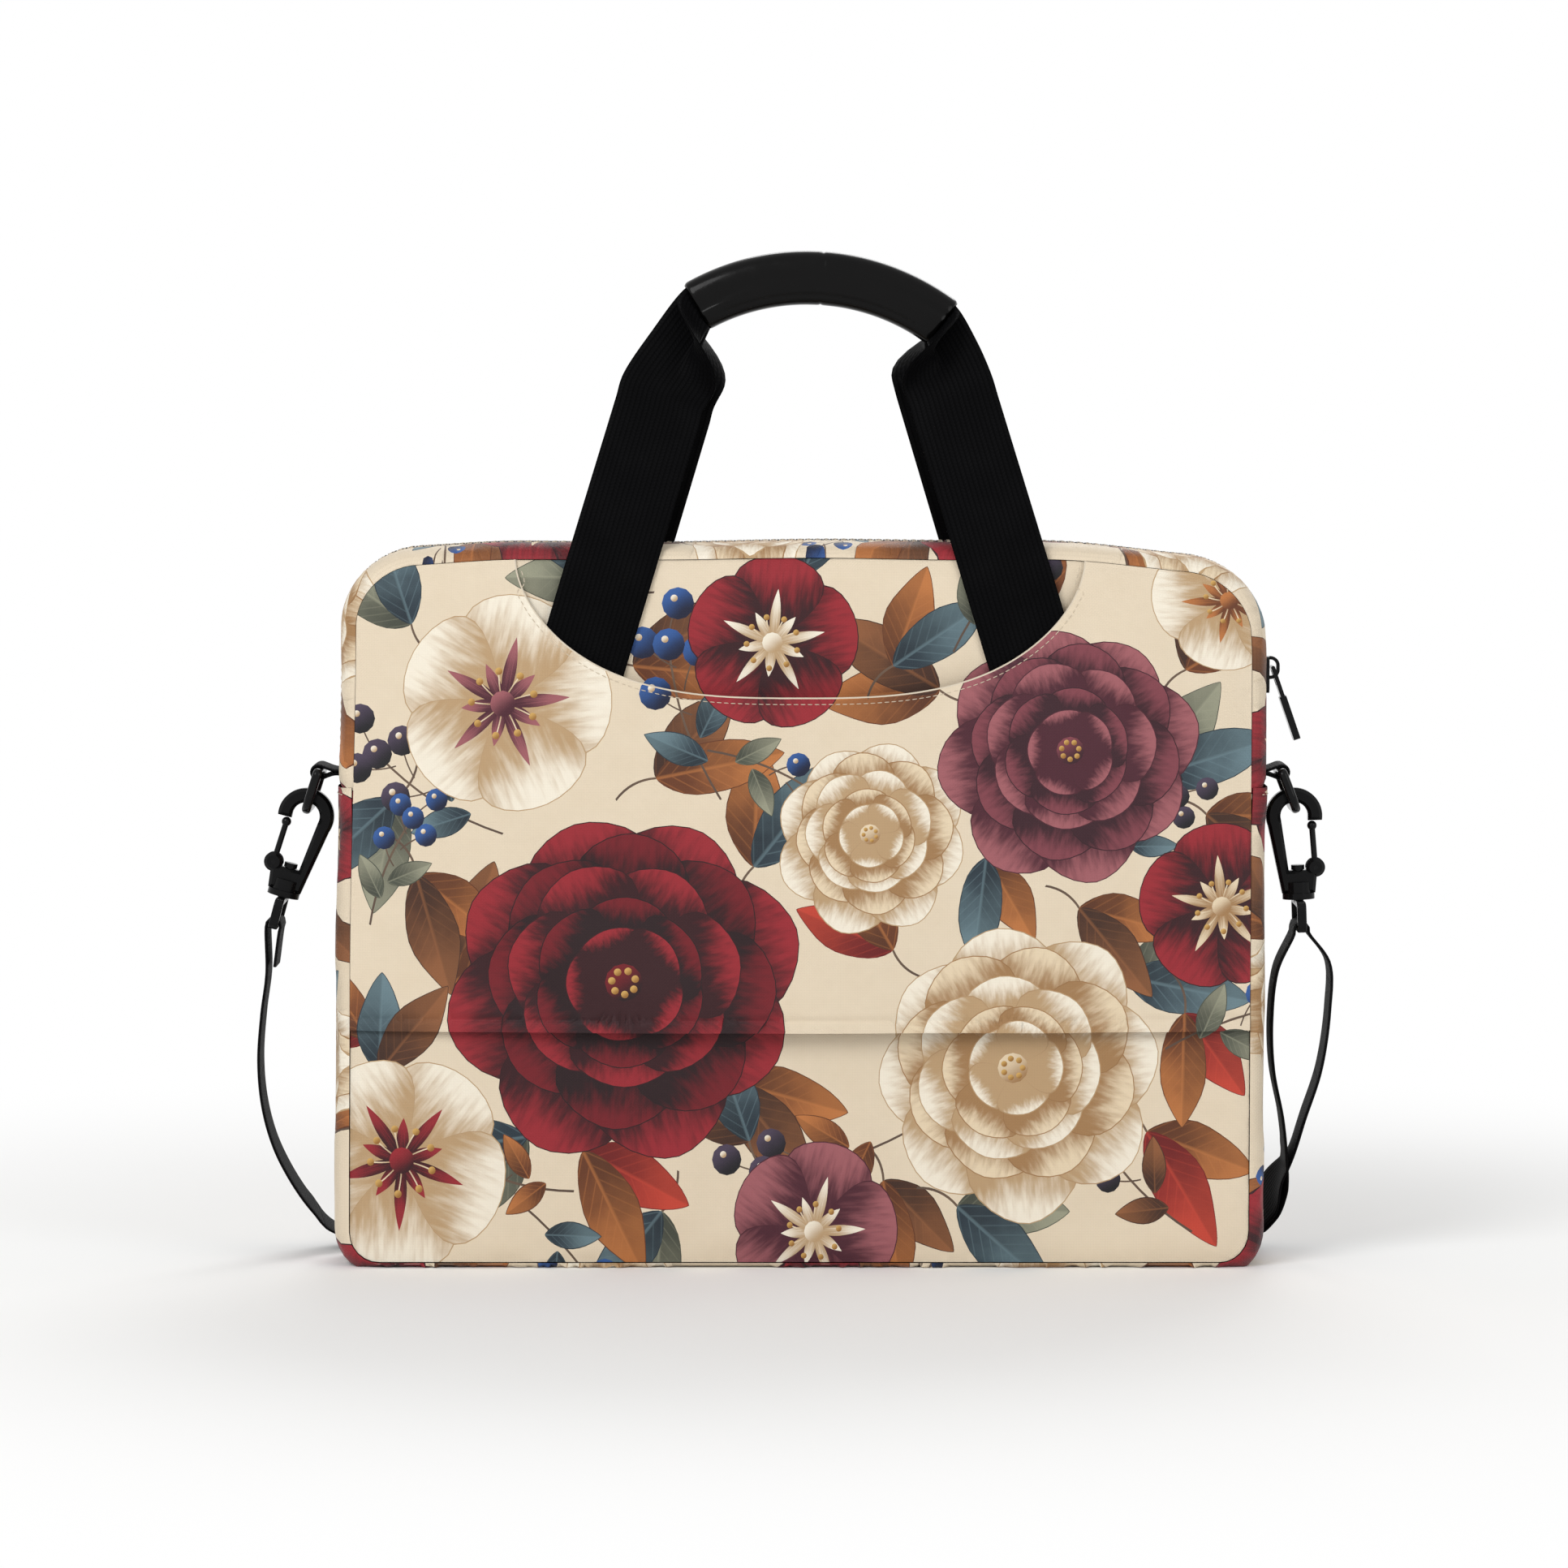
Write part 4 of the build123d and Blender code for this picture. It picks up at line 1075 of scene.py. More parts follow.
def make_sleeve():
    """The sleeve with its turned hem, bound scoop and topstitching."""
    edge = sleeve_edge()
    side = half_width - gusset_swell - 0.0012
    across = np.arange(-side + 0.002, side - 0.002, 0.003)
    hem_rows = np.vstack([rows(across, sleeve_low + hem_height + shift) for shift in hem_row_shifts])
    sleeve = printed_piece("sleeve_cloth", edge, panel_print(False), sleeve_place, extra=hem_rows)
    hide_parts("trolley_sleeve")
    scoop = scoop_points()
    bound = sleeve_place(scoop) + along_y * (cloth_wall / 2)
    stitched = drawn_in(scoop[3:-3], scoop_stitch_inset, (0, 0))
    trims = [
        round_cord("scoop_binding", bound, binding_radius, hem_binding),
        sew("scoop_stitches", stitched, sleeve_place, pale_thread, "printed_fabric", *scoop_stitch),
    ]


make_sleeve()

# Gusset: the printed band round the bag, with the zip let into its upper part
zip_half = 0.0045
strip_edge = half_depth - 0.0006
seam_tuck = 0.0006
seam_walk = panel_outline.walk_to_height(gusset_seam)
seam_lap = 0.006
lap_rise = 0.0006
strip_sink = 0.0016
fold_sink = 0.0005
fold_reach = 0.0012
strip_stitch_inset = 0.0022
seam_stitch_inset = 0.003
seam_stitch_half = 0.021


def gusset_rise(walk, across, seed):
    """How far the gusset stands out of the panels' outline, soft towards both seams."""
    share = np.clip(np.abs(across) / strip_edge, 0, 1)
    swell = gusset_swell * np.sqrt(1 - share**5) - seam_tuck * ease(share, 0.97, 1.0)
    still = ease(np.abs(across), 0.006, 0.014) * ease(1 - share, 0.03, 0.2)
    drift = 0.0006 * soft_waves(walk, across, seed, 0.09)
    drift = drift + 0.00025 * soft_waves(walk, across, seed + 1, 0.03)
    return swell + np.minimum(drift, 0.0002) * still


def gusset_place(lift):
    """A place function for a strip of the gusset that lies a little lower or prouder."""

    def place(flat):
        walk, across = flat[:, 0], flat[:, 1]
        base, out = panel_outline.at(walk)
        rise = gusset_rise(walk, across, 71) + lift(walk, across)
        spot = base + out * rise[:, None]
        return settled(rows(spot[:, 0], -across, np.maximum(spot[:, 1], floor_room)))

    return place


def strip_cut(start, finish, low, high):
    """The straight cut of a strip, with points along all four sides."""
    along = np.arange(start, finish, edge_spacing)
    across = np.arange(low, high, edge_spacing)
    return np.vstack((
        rows(along, low), rows(finish, across), rows(along[::-1] + finish - along[-1], high),
        rows(start, across[::-1] + high - across[-1]),
    ))


def lower_lift(walk, across):
    """The lower gusset laps over the zip strips, standing a little prouder towards its ends."""
    return lap_rise * ease(np.abs(walk), seam_walk - 0.02, seam_walk)


def zip_lift(walk, across):
    """The zip strips go under the lower gusset at their ends, and roll under along the zip."""
    from_top = np.abs(walk - panel_outline.length / 2)
    end_walk = panel_outline.length / 2 - seam_walk
    ending = ease(from_top, end_walk - 0.004, end_walk)
    folded = np.exp(-(((np.abs(across) - zip_half) / fold_reach) ** 2))
    return -strip_sink * ending - fold_sink * folded


lower_place = gusset_place(lower_lift)
strip_place = gusset_place(zip_lift)


def make_gussets():
    """The lower gusset and the two strips beside the zip, with their topstitching."""
    cut = strip_cut(-seam_walk, seam_walk, -strip_edge, strip_edge)
    fields = gusset_print(-seam_walk, seam_walk)
    lower = printed_piece("lower_gusset_cloth", cut, fields, lower_place, gusset_spacing)
    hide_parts("lower_gusset")
    start = seam_walk - seam_lap
    finish = panel_outline.length - seam_walk + seam_lap
    fields = gusset_print(start, finish)
    walk = np.linspace(start + seam_lap + 0.002, finish - seam_lap - 0.002, 300)
    for name, side, low, high in (("back", 1, zip_half, strip_edge), ("front", -1, -strip_edge, -zip_half)):
        cut = strip_cut(start, finish, low, high)
        strip = printed_piece(f"zip_gusset_{name}_cloth", cut, fields, strip_place, gusset_spacing)
        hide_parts(f"zip_gusset_{name}")
        line = rows(walk, side * (zip_half + strip_stitch_inset))
        sew(f"zip_stitches_{name}", line, strip_place, pale_thread, "printed_fabric")
    for name, side in (("right", 1), ("left", -1)):
        across = np.linspace(-seam_stitch_half, seam_stitch_half, 60)
        line = rows(side * (seam_walk - seam_stitch_inset), across)
        sew(f"seam_stitches_{name}", line, lower_place, pale_thread, "printed_fabric")


make_gussets()

# Zip: two tapes and a coil of small rounded teeth
tooth_pitch = 0.00135
tooth_half = 0.0019
tooth_radius = 0.00062
tooth_stagger = 0.0004
tooth_slant = 0.2
coil_sink = 0.0006
tape_sink = 0.0011
tape_wall = 0.0006
tape_near = 0.0007
tape_far = 0.0075
tape_lanes = 5
zip_overlap = 0.003


def tape_place(flat):
    """The zip's tapes lie just under the folded edges of the strips."""
    base, out = panel_outline.at(flat[:, 0])
    spot = base + out * (gusset_swell - tape_sink)
    return settled(rows(spot[:, 0], -flat[:, 1], spot[:, 1]))


def make_tape(name, walk, low, high):
    """One tape of the zip, a thin flat band between two lines."""
    flat = np.vstack([rows(walk, across) for across in np.linspace(low, high, tape_lanes)])
    out = surface_ways(tape_place, flat)
    face = tape_place(flat)
    count = len(walk)
    size = len(flat)
    faces = []
    for corner in range(size - count):
        if corner % count < count - 1:
            quad = [corner, corner + 1, corner + count + 1, corner + count]
            faces.append(quad)
            faces.append([number + size for number in quad[::-1]])
    for near in range(count - 1):
        far = size - count + near
        faces.append([near + 1, near, near + size, near + 1 + size])
        faces.append([far, far + 1, far + 1 + size, far + size])
    points = np.vstack((face, face - out * tape_wall))
    tape = new_piece(f"zip_tape_{name}_cloth", points, faces, zip_tape_cloth)
    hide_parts(f"zip_tape_{name}")


def make_zip():
    """Tapes and coil, along the top and down both sides to the seam."""
    start = seam_walk - zip_overlap
    finish = panel_outline.length - seam_walk + zip_overlap
    walk = np.linspace(start, finish, 240)
    make_tape("back", walk, tape_near, tape_far)
    make_tape("front", walk, -tape_far, -tape_near)
    places = np.arange(start, finish, tooth_pitch)
    base, out = panel_outline.at(places)
    sides = np.where(np.arange(len(places)) % 2 == 0, 1.0, -1.0)
    spot = base + out * (gusset_swell - coil_sink)
    middles = settled(rows(spot[:, 0], sides * tooth_stagger, spot[:, 1]))
    slant = np.gradient(base, axis=0) / tooth_pitch * tooth_slant
    ways = unit(rows(slant[:, 0], 1.0, slant[:, 1]))
    outs = rows(out[:, 0], 0.0, out[:, 1])
    points, faces = stitch_shapes(middles, ways, outs, 2 * tooth_half, tooth_radius)
    coil = new_piece("zip_coil", points, faces, coil_nylon)
    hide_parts("zip_chain")


make_zip()


def smooth_line(points, spacing):
    """A smooth line through stations that are unevenly spaced, at even steps."""
    points = np.asarray(points, float)
    before = 2 * points[0] - points[1]
    after = 2 * points[-1] - points[-2]
    knots = np.vstack((before, points, after))
    gaps = np.linalg.norm(np.diff(knots, axis=0), axis=1) ** 0.5
    times = np.concatenate(([0], np.cumsum(gaps)))
    pieces = []
    for number in range(1, len(knots) - 2):
        t0, t1, t2, t3 = times[number - 1 : number + 3]
        p0, p1, p2, p3 = knots[number - 1 : number + 3]
        count = max(2, int(np.linalg.norm(p2 - p1) / spacing * 3))
        t = np.linspace(t1, t2, count, endpoint=False)[:, None]
        a1 = (t1 - t) / (t1 - t0) * p0 + (t - t0) / (t1 - t0) * p1
        a2 = (t2 - t) / (t2 - t1) * p1 + (t - t1) / (t2 - t1) * p2
        a3 = (t3 - t) / (t3 - t2) * p2 + (t - t2) / (t3 - t2) * p3
        b1 = (t2 - t) / (t2 - t0) * a1 + (t - t0) / (t2 - t0) * a2
        b2 = (t3 - t) / (t3 - t1) * a2 + (t - t1) / (t3 - t1) * a3
        pieces.append((t2 - t) / (t2 - t1) * b1 + (t - t1) / (t2 - t1) * b2)
    dense = np.vstack(pieces + [points[-1:]])
    walk = walk_along(dense)
    return read_at(np.linspace(0, walk[-1], max(3, int(walk[-1] / spacing) + 1)), walk, dense)


def blurred(values, reach):
    """Rows of values smoothed over a number of their neighbours."""
    weights = np.exp(-((np.arange(-2 * reach, 2 * reach + 1) / reach) ** 2))
    padded = np.pad(values, ((2 * reach, 2 * reach), (0, 0)), "edge")
    columns = [np.convolve(column, weights / weights.sum(), "valid") for column in padded.T]
    return np.stack(columns, axis=1)


webbing_bend = 0.0026


def webbing_strip(
    name, line, across, width, wall, material, body,
    folds=None, fold_toward=(0, 1, 0), lead=0.5, offset=0.0, ways=None,
):
    """Webbing whose line lies at a share of its width, folded in half by a share at each step."""
    count = len(line)
    way = unit(np.gradient(line, axis=0)) if ways is None else ways
    normal = unit(np.cross(way, across))
    across = np.cross(normal, way)
    bend = webbing_bend
    reach = np.union1d(np.linspace(-width / 2, width / 2, 21), np.linspace(-bend, bend, 9))
    folds = np.zeros(count) if folds is None else folds
    hand = np.sign(normal @ np.array(fold_toward, float))
    turn = math.pi * (hand * folds)[:, None] * ease(reach, -bend, bend)[None]
    step = np.diff(reach)
    middle_turn = (turn[:, 1:] + turn[:, :-1]) / 2
    start = np.zeros((count, 1))
    aside = np.hstack((start, np.cumsum(np.cos(middle_turn) * step, axis=1))) - width * lead
    proud = np.hstack((start, np.cumsum(np.sin(middle_turn) * step, axis=1)))
    edge = np.maximum(0.35, (1 - np.abs(2 * reach / width) ** 14) ** 0.5)
    half = wall / 2 * edge
    corners = []
    for face in (1, -1):
        local_a = aside - face * np.sin(turn) * half
        local_n = proud + face * np.cos(turn) * half
        spots = line[:, None] + across[:, None] * local_a[..., None] + normal[:, None] * local_n[..., None]
        corners.append(spots)
    loop = np.concatenate((corners[0], corners[1][:, ::-1]), axis=1)
    size = loop.shape[1]
    faces = tube_faces(count, size)
    for base, flip in ((0, 1), ((count - 1) * size, -1)):
        for lane in range(len(reach) - 1):
            twin = size - 1 - lane
            quad = [base + lane, base + twin, base + twin - 1, base + lane + 1]
            faces.append(quad[::flip])
    piece = new_piece(name, loop.reshape(-1, 3), faces, material, body)
    lane_walk = np.concatenate((reach, reach[::-1]))
    flat = rows(lane_walk[None], walk_along(line)[:, None] + offset).reshape(-1, 2)
    order = np.zeros(len(piece.data.loops), np.int32)
    piece.data.loops.foreach_get("vertex_index", order)
    set_cloth_map(piece.data, flat[order])
    return piece


# Carrying handles: four legs of webbing sewn to the panels, folded in half into the grip
handle_width = 0.038
handle_lean = math.radians(16.8)
handle_foot_half = 0.1065
front_handle_inset = 0.004
handle_side_shift = 0.003
grip_crest = 0.429
grip_span = 0.107
grip_arch = 0.016
grip_turn = math.radians(3.8)
grip_radius = grip_span**2 / (8 * grip_arch) + grip_arch / 2
grip_half_angle = math.asin(grip_span / 2 / grip_radius)
bundle_depth = 0.0014
folded_half = 0.0094
leg_height_shares = (
    (0.238, 1.0), (0.262, 1.0), (0.289, 1.0), (0.3095, 1.0), (0.332, 0.82), (0.354, 0.62), (0.372, 0.46),
)
bend_height = 0.3815
bend_depth_share = 0.37
bend_bow = 0.0012
halfway_depth_share = 0.16
grip_entry_shares = (1.0, 0.88, 0.74, 0.6)
fold_start_share = 0.2
way_blur = 6
foot_margin = 0.005
foot_low = 0.003
foot_high = 0.019
foot_stitch = (0.0034, 0.0027, 0.0003)


def grip_place(share):
    """Points on the grip's line and its slope; share runs -1 to 1 along the grip."""
    angle = share * grip_half_angle + grip_turn
    x = handle_side_shift + grip_radius * np.sin(angle)
    z = grip_crest - grip_radius * (1 - np.cos(angle))
    return x, z, angle


def leg_edge(leg, side, inset):
    """The outer edge of one handle leg, from its foot into the grip, and where it bends and goes in."""
    sewn = half_depth + webbing_wall / 2
    lean = math.tan(handle_lean)
    out_x = leg * math.cos(handle_lean) * handle_width / 2
    out_z = math.sin(handle_lean) * handle_width / 2
    stations = []
    for height, kept_depth in leg_height_shares + ((bend_height, bend_depth_share),):
        x = handle_side_shift + leg * (handle_foot_half - inset - (height - handle_foot) * lean)
        depth = bundle_depth + (sewn - bundle_depth) * kept_depth
        stations.append((x + out_x, depth, height + out_z))
    bend = np.array(stations[-1])
    inside = []
    for share in grip_entry_shares:
        x, z, slope = grip_place(leg * share)
        inside.append((x + math.sin(slope) * folded_half, bundle_depth, z + math.cos(slope) * folded_half))
    mouth = np.array(inside[0])
    halfway = (bend + mouth) / 2
    halfway[0] += leg * bend_bow
    halfway[1] = bundle_depth + (sewn - bundle_depth) * halfway_depth_share
    line = smooth_line(np.vstack((stations, halfway, inside)), webbing_step)
    cloth = back_cloth if side < 0 else front_cloth
    for share in np.linspace(0, 1, 7):
        x = line[:, 0] - 2 * share * out_x
        z = line[:, 2] - 2 * share * out_z
        resting = panel_rise(x, z, cloth) + half_depth + webbing_wall / 2 + lying_room
        on_panel = depth_inside(x, z, gusset_swell) > 0
        line[:, 1] = np.where(on_panel, np.maximum(line[:, 1], resting), line[:, 1])
    to_side = np.array((1, side, 1))
    return line * to_side, bend * to_side, mouth * to_side


def sew_foot(name, line, across, out):
    """The box and cross of stitches that holds a leg's foot to its panel."""
    walk = walk_along(line)

    def place(flat):
        spot, aside, proud = (read_at(flat[:, 1], walk, values) for values in (line, across, out))
        return spot + aside * flat[:, :1] + proud * (webbing_wall / 2)

    near, far, low, high = foot_margin, handle_width - foot_margin, foot_low, foot_high
    box = np.array(((near, low), (far, low), (far, high), (near, high), (near, low), (far, high)))
    cross = np.array(((near, high), (far, low)))
    for label, corners in (("box", box), ("cross", cross)):
        sew(f"{name}_{label}", corners, place, black_thread, "black_webbing", *foot_stitch)


def make_handles():
    """Both handles, each of two legs that meet inside the grip."""
    for name, side, inset in (("back", -1, 0.0), ("front", 1, front_handle_inset)):
        for label, leg in (("left", -1), ("right", 1)):
            line, bend, mouth = leg_edge(leg, side, inset)
            walk = walk_along(line)
            bend_walk = walk[nearest_to(line, bend)]
            mouth_walk = walk[nearest_to(line, mouth)]
            fold_walk = bend_walk + fold_start_share * (mouth_walk - bend_walk)
            way = unit(blurred(unit(np.gradient(line, axis=0)), way_blur))
            across = unit(np.cross(np.array((0.0, -leg, 0.0)), way))
            webbing_strip(
                f"{name}_handle_{label}", line, across, handle_width, webbing_wall,
                handle_webbing, "bag",
                folds=ease(walk, fold_walk, mouth_walk), fold_toward=(0, side, 0), lead=0.0, ways=way,
            )
            out = np.cross(way, across)
            sew_foot(f"{name}_foot_{label}", line, across, out * np.sign(out[:, 1:2]) * side)
        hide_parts(f"{name}_handle")


make_handles()

# Hand grip: a glossy wrap round both folded handles
grip_half_height = 0.0115
grip_half_depth = 0.0080
grip_sides = 72
grip_squareness = 0.72
mouth_scale = 0.87


def make_grip():
    """The wrap, with its seam at the middle, creases drawn in from its ends and open mouths."""
    outer = np.linspace(-1, 1, 121)
    stations = np.concatenate(([-0.90, -0.985], outer, [0.985, 0.90]))
    rolled = np.ones(len(outer))
    rolled[[0, -1]] = 0.925
    rolled[[1, -2]] = 0.985
    scales = np.pad(rolled, 2, constant_values=mouth_scale)
    angle = np.arange(grip_sides) * 2 * math.pi / grip_sides
    up = np.sign(np.sin(angle)) * np.abs(np.sin(angle)) ** grip_squareness
    out = np.sign(np.cos(angle)) * np.abs(np.cos(angle)) ** grip_squareness
    x, z, slope = grip_place(stations)
    middle = rows(x, 0.0, z)
    above = rows(np.sin(slope), 0.0, np.cos(slope))
    from_end = 1 - np.abs(stations)
    near_end = ease(np.abs(stations), 0.12, 0.85)[:, None]
    seam = np.exp(-((stations / 0.012) ** 2))
    puff = 1 + 0.02 * np.cos(stations * 2.2) - 0.035 * seam
    crease_place = np.where(stations < 0, -0.22 + 0.45 * from_end, 0.30 - 0.30 * from_end)[:, None]
    crease = np.exp(-(((up - crease_place) / 0.10) ** 2)) * near_end
    ridge = np.exp(-(((up - crease_place + 0.2) / 0.10) ** 2)) * near_end
    low_crease = np.exp(-(((up + 0.66) / 0.09) ** 2)) * ease(from_end, 0.05, 0.3)[:, None]
    body = (puff * scales)[:, None] * (1 - 0.10 * crease + 0.035 * ridge - 0.05 * low_crease)
    tall = body * up * grip_half_height
    deep = body * out * grip_half_depth
    points = middle[:, None] + above[:, None] * tall[..., None] + along_y * deep[..., None]
    faces = tube_faces(len(stations), grip_sides)
    grip = new_piece("grip_wrap_cover", points.reshape(-1, 3), faces, grip_wrap)
    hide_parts("hand_grip")


make_grip()

# Ring tabs: short webbing loops from the side seams round the rings' straight bars
tab_width = 0.025
tab_tuck = 0.004
tab_half_gap = 0.00085
ring_wire_radius = 0.002
tab_turn_radius = ring_wire_radius + lying_room + strap_wall / 2


def make_tabs():
    """A folded loop of webbing round each ring's bar."""
    for name, side in (("left", -1), ("right", 1)):
        pivot = np.array(joint_places[f"ring_swing_{name}"]["pos_m"])
        reach = abs(pivot[0]) - (half_width - tab_tuck)
        turn = np.linspace(math.radians(100), math.radians(-100), 15)
        arc = rows(np.cos(turn), np.sin(turn)) * tab_turn_radius
        upper = np.array(((-reach, tab_half_gap), (-reach * 0.6, tab_half_gap)))
        lower = upper[::-1] * np.array((1, -1))
        flat = np.vstack((upper, arc, lower))
        stations = rows(side * (abs(pivot[0]) + flat[:, 0]), 0.0, pivot[2] + flat[:, 1])
        line = smooth_line(stations, 0.0009)
        tab = webbing_strip(
            f"ring_tab_{name}_loop", line, along_y, tab_width, strap_wall,
            strap_webbing, "bag",
        )
        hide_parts(f"ring_tab_{name}")


make_tabs()

# Shoulder strap: webbing from swivel to swivel, doubled on the right, lying behind the bag
strap_width = 0.025
strap_bulge = 0.034
strap_back = 0.041
strap_layer = 0.0017
strap_low = 0.0010
strap_high = strap_low + strap_layer
strap_over_slide = 0.0067
slide_place = 0.130
slide_half = 0.013
slide_bar_half = 0.0016
slide_bar_aside = 0.0029
slide_bar_lead = 0.0032
slide_bar_under = 0.0010
slide_bar_over = 0.0050
tail_length = 0.016
tail_aside = 0.002
behind_share = 0.9
right_turn_angle = math.radians(22)
right_turn_share = 0.75
right_turn_reach_share = 0.35
eye_bar_drop = 0.0125
left_drop_shares = (
    (0.86, 0.88, 0.00), (0.74, 0.95, 0.03), (0.60, 1.00, 0.09), (0.47, 0.97, 0.20),
    (0.35, 0.86, 0.36), (0.24, 0.67, 0.56), (0.14, 0.42, 0.77), (0.065, 0.15, 0.92),
)
inner_drop_shares = (
    (0.88, 0.17, 0.0), (0.73, 0.10, 0.02), (0.58, 0.13, 0.08), (0.43, 0.26, 0.18), (0.32, 0.32, 0.32),
)
outer_drop_shares = (
    (0.90, 0.83, 0.0), (0.76, 0.84, 0.02), (0.58, 0.74, 0.08), (0.43, 0.55, 0.18), (0.32, 0.42, 0.32),
)
joined_drop_shares = ((0.23, 0.31, 0.54), (0.14, 0.13, 0.78), (0.065, -0.10, 0.93))
eye_turn_shares = ((-1, -0.6), (-1, 0.4), (-0.62, 1.03), (0.62, 1.03), (1, 0.4), (1, -0.6))
eye_aside = 0.0030
eye_above = 0.0023


def eye_bar(name):
    """The middle of a swivel's lower bar, and the hook's ways out and up."""
    joint = joint_places[f"swivel_turn_{name}"]
    up = np.array(joint["axis"])
    side = -1 if name == "left" else 1
    out = np.array((side * up[2], 0.0, -side * up[0]))
    return np.array(joint["pos_m"]) - up * eye_bar_drop, out, up


def drop_stations(side, bar_up, shares):
    """Hanging stations of the strap from a table of shares: height, bulge and way behind the bag."""
    height, bulge, behind = np.array(shares).T
    return rows(side * (half_width + bulge * strap_bulge), behind * strap_back, height * bar_up)


def turn_stations(bar, out, up):
    """Stations of the strap over a swivel's bar, from its inner side to its outer side."""
    aside, above = np.array(eye_turn_shares).T
    return bar + np.outer(aside * eye_aside, out) + np.outer(above * eye_above, up)


def spaced(stations, offset):
    """Stations moved off their line in the X and Z plane."""
    way = np.gradient(stations, axis=0)
    return stations - unit(np.cross(way, along_y)) * offset


def strap_across(line):
    """Which way the strap's width lies: along Y, turned a little where it goes behind the right side."""
    from_turn = np.abs(line[:, 1] / strap_back - right_turn_share) / right_turn_reach_share
    share = ease(1 - from_turn, 0, 1)
    angle = right_turn_angle * share * ease(line[:, 0], half_width - 0.02, half_width + 0.003)
    return rows(-np.sin(angle), np.cos(angle), 0.0)


def strap_line():
    """The strap from the left eye behind the bag to the right one, and back to the slide."""
    left_bar, left_out, left_up = eye_bar("left")
    right_bar, right_out, right_up = eye_bar("right")
    left_turn = turn_stations(left_bar, left_out, left_up)
    tail = left_turn[0] - left_up * tail_length - left_out * tail_aside
    ends = half_width - bottom_corner
    ramp_out = 2 * slide_half
    over_slide = np.array((
        (-ends, strap_low),
        (-slide_place - slide_half - ramp_out, strap_low),
        (-slide_place - slide_half, strap_over_slide),
        (-slide_place + slide_half, strap_over_slide),
        (-slide_place + slide_half + ramp_out, strap_high),
        (ends, strap_high),
    ))
    round_bar = np.array((
        (ends, strap_low),
        (0.0, strap_low),
        (-slide_place + slide_bar_lead, strap_low),
        (-slide_place - slide_bar_half, slide_bar_under),
        (-slide_place - slide_bar_aside, (slide_bar_under + slide_bar_over) / 2),
        (-slide_place - slide_bar_half, slide_bar_over),
        (-slide_place + slide_bar_lead, slide_bar_over),
    ))
    floor_run, back_run = (rows(run[:, 0], strap_back, run[:, 1]) for run in (over_slide, round_bar))
    joined, inner, outer = (
        drop_stations(1, right_bar[2], shares)
        for shares in (joined_drop_shares, inner_drop_shares, outer_drop_shares)
    )
    running = np.vstack((
        tail, left_turn, drop_stations(-1, left_bar[2], left_drop_shares), floor_run,
        spaced(joined, -strap_layer / 2)[::-1], inner[::-1],
        turn_stations(right_bar, right_out, right_up), outer, spaced(joined, strap_layer / 2), back_run,
    ))
    line = smooth_line(running, webbing_step)
    number = np.arange(len(line))
    turned = nearest_to(line, right_bar)
    doubled = (line[:, 1] > behind_share * strap_back) & (line[:, 0] > slide_half - slide_place)
    lying_over = doubled & (number < turned)
    line[:, 2] = np.maximum(line[:, 2], np.where(lying_over, strap_high, strap_low))
    lying_under = doubled & (number > turned) & (line[:, 0] < ends)
    line[lying_under, 2] = strap_low
    return line


# Heights below an eye's bar where the strap leaves its swivel, meets the hook, the ring and the bag
strap_limits = (0.007, 0.022, 0.064, 0.132)
eye_side_room = 0.004
out_of_reach = 9.0


def drop_below_eyes(line):
    """How far each of the strap's points hangs below its eye's bar, out of reach behind the bag."""
    drops = np.full(len(line), out_of_reach)
    for name, side in (("left", -1), ("right", 1)):
        bar = eye_bar(name)[0]
        beside = side * line[:, 0] > half_width - eye_side_room
        near = beside & (line[:, 1] < strap_back * behind_share)
        drops = np.where(near, bar[2] - line[:, 2], drops)
    return drops


def meet_limits(line):
    """Moves the station nearest each limit along the line onto it, and returns those stations."""
    drops = drop_below_eyes(line)
    met = []
    for limit in strap_limits:
        for place in np.flatnonzero(np.diff(drops > limit)):
            share = (limit - drops[place]) / (drops[place + 1] - drops[place])
            nearest = place + int(share > 0.5)
            line[nearest] = line[place] + share * (line[place + 1] - line[place])
            met.append(int(nearest))
    return sorted(met)


def make_strap():
    """The strap in stretches, so that it bends where the swivels, hooks and rings turn."""
    line = strap_line()
    cuts = meet_limits(line)
    stage = np.searchsorted(strap_limits, drop_below_eyes(line))
    across = strap_across(line)
    way = unit(np.gradient(line, axis=0))
    steps = walk_along(line)
    for number, (start, finish) in enumerate(zip([0, *cuts], [*cuts, len(line) - 1])):
        part = slice(start, finish + 1)
        level = int(stage[(start + finish) // 2])
        name = "left" if line[start, 0] < 0 else "right"
        bodies = (f"{name}_swivel", f"{name}_hook", f"{name}_ring", "bag")
        whole = {0: bodies[0], len(strap_limits): "bag"}.get(level)
        piece = webbing_strip(
            f"strap_{number:02d}", line[part], across[part], strap_width, strap_wall, strap_webbing,
            whole, offset=steps[start], ways=way[part],
        )
        if whole is None:
            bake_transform(piece)
    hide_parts("shoulder_strap")


make_strap()


def settle_inside(name, least):
    """The inside cloths settle as the outside does, so that they stay within it."""
    mesh = frame["nodes"][name].data
    points = np.empty(3 * len(mesh.vertices))
    mesh.vertices.foreach_get("co", points)
    places = settled(points.reshape(-1, 3))
    places[:, 2] = np.maximum(places[:, 2], least)
    faces = [list(face.vertices) for face in mesh.polygons]
    piece = new_piece(f"{name}_cloth", places, faces, lining_cloth)
    piece.data.polygons.foreach_set("use_smooth", np.zeros(len(faces), bool))
    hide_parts(name)


settle_inside("lining", least=0.0022)
settle_inside("divider", least=0.0034)


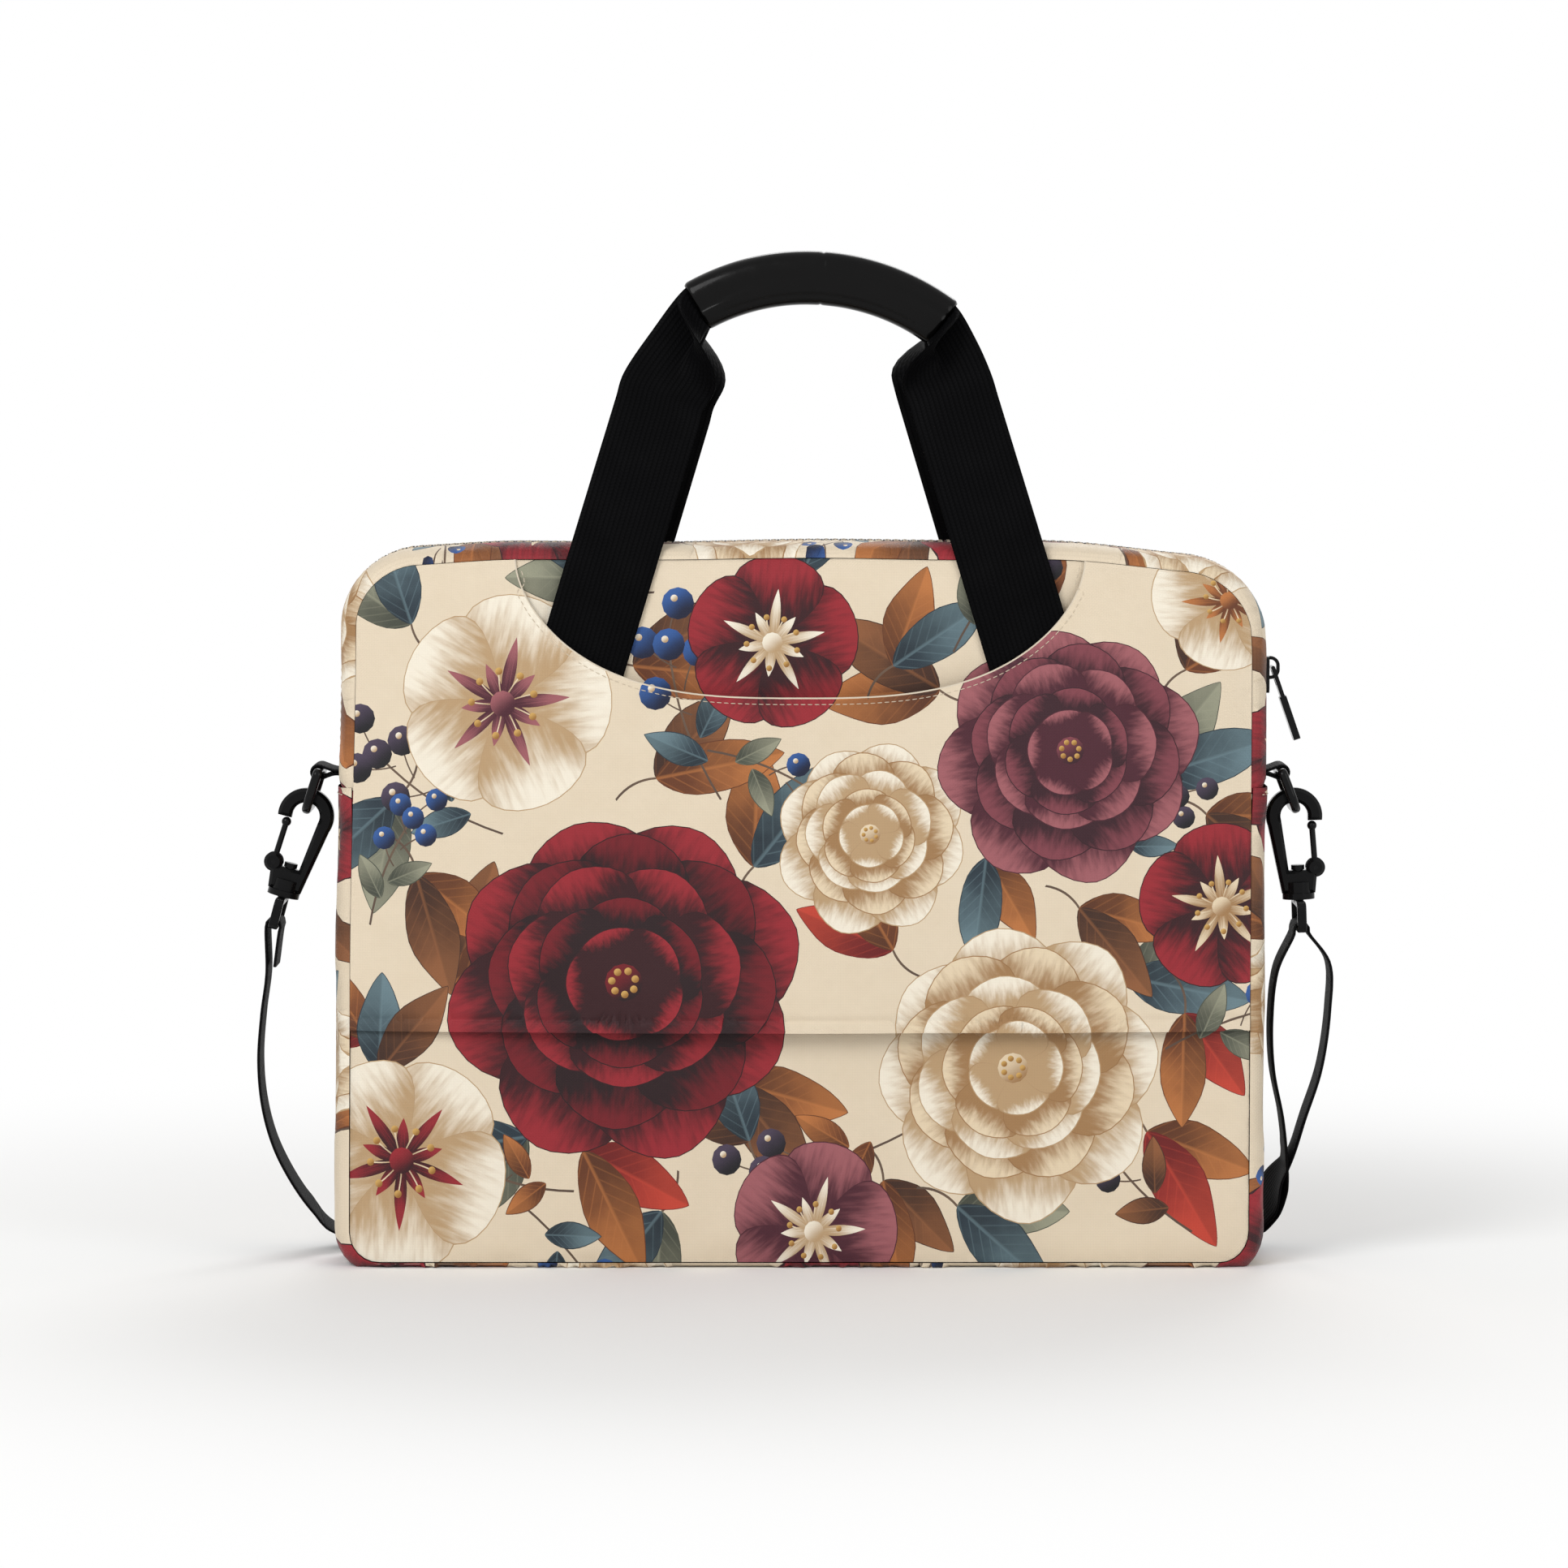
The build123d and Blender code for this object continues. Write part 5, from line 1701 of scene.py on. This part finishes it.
def dress_hardware():
    """Finishes for the rigid pieces that stay as the frame has them."""
    pairs = ("d_ring", "gate", "gate_pin")
    paired = [f"{name}_{side}" for name in pairs for side in ("left", "right")]
    enamelled = ["zip_slider", "zip_pull", *paired]
    moulded = ["hook_left", "hook_right", "swivel_left", "swivel_right", "strap_slide"]
    for material, names in ((black_enamel, enamelled), (black_moulding, moulded)):
        for name in names:
            mesh = frame["nodes"][name].data
            mesh.materials.clear()
            mesh.materials.append(material)

dress_hardware()

# Floor, light and camera
camera_target = Vector((-0.007, -0.012, 0.210))
camera_distance = 2.6
camera_rise = math.radians(4)
picture_width = 0.680
sensor_width = 36.0
lamp_target = Vector((0, 0, 0.18))
floor_reach = 8.0
white = (1.0, 1.0, 1.0, 1.0)


def seen_rays(tree):
    """1 for rays that come to the camera straight, off a gloss or through a clear thing."""
    rays = add_node(tree, "LightPath")
    seen = figure(tree, "MAXIMUM", rays.outputs["Is Camera Ray"], rays.outputs["Is Glossy Ray"])
    return figure(tree, "MAXIMUM", seen, rays.outputs["Is Transmission Ray"])


def make_floor():
    """A plain pale floor that passes into the white surround away from the bag."""
    mesh = bpy.data.meshes.new("floor")
    signs = ((-1, -1), (1, -1), (1, 1), (-1, 1))
    mesh.from_pydata([(x * floor_reach, y * floor_reach, 0) for x, y in signs], [], [(0, 1, 2, 3)])
    floor = add_object("floor", mesh)
    material, tree, shader = new_material("pale floor", Roughness=0.9, Specular_IOR_Level=0.1)
    place = add_node(tree, "TexCoord").outputs["Object"]
    mottle = noise(tree, place, 3.0, 2.0)
    pale = mix_colour(tree, mottle, dye(246, 246, 245), dye(250, 250, 249))
    tree.links.new(pale, shader.inputs["Base Color"])
    away = add_node(tree, "VectorMath", {0: place}, operation="LENGTH").outputs["Value"]
    lost = figure(tree, "MULTIPLY", ramp(tree, away, 0.28, 0.75), seen_rays(tree))
    glow = add_node(tree, "Emission", {"Color": white, "Strength": 1.0})
    mixed = add_node(tree, "MixShader", {0: lost, 1: shader.outputs[0], 2: glow.outputs[0]})
    tree.links.new(mixed.outputs[0], tree.nodes["Material Output"].inputs["Surface"])
    mesh.materials.append(material)


def make_world():
    """A white surround that shows white and lights softly."""
    world = bpy.data.worlds.new("white surround")
    bpy.context.scene.world = world
    world.use_nodes = True
    tree = world.node_tree
    ground = tree.nodes["Background"]
    ground.inputs["Color"].default_value = white
    strength = figure(tree, "MULTIPLY_ADD", seen_rays(tree), 0.5, 0.5)
    tree.links.new(strength, ground.inputs["Strength"])


def aim(thing, way):
    """Turns a lamp or camera to look along a way."""
    thing.rotation_euler = way.to_track_quat("-Z", "Y").to_euler()


def make_lamp(name, place, size, watts):
    """A soft lamp aimed at the bag's middle."""
    data = bpy.data.lights.new(name, "AREA")
    data.shape = "DISK"
    data.size = size
    data.energy = watts
    lamp = add_object(name, data)
    lamp.location = place
    aim(lamp, lamp_target - Vector(place))


def make_camera():
    """The camera at the photograph's angle."""
    data = bpy.data.cameras.new("camera")
    data.sensor_width = sensor_width
    data.lens = sensor_width * camera_distance / picture_width
    camera = add_object("camera", data)
    back = Vector((0, -math.cos(camera_rise), math.sin(camera_rise)))
    camera.location = camera_target + back * camera_distance
    aim(camera, -back)
    bpy.context.scene.camera = camera


make_floor()
make_world()
make_lamp("key lamp", (-1.3, -1.9, 1.7), 1.5, 34)
make_lamp("fill lamp", (1.7, -1.6, 0.9), 1.6, 12)
make_lamp("back lamp", (0.4, 1.9, 1.8), 1.6, 22)
make_camera()
bpy.context.scene.view_settings.view_transform = "Standard"
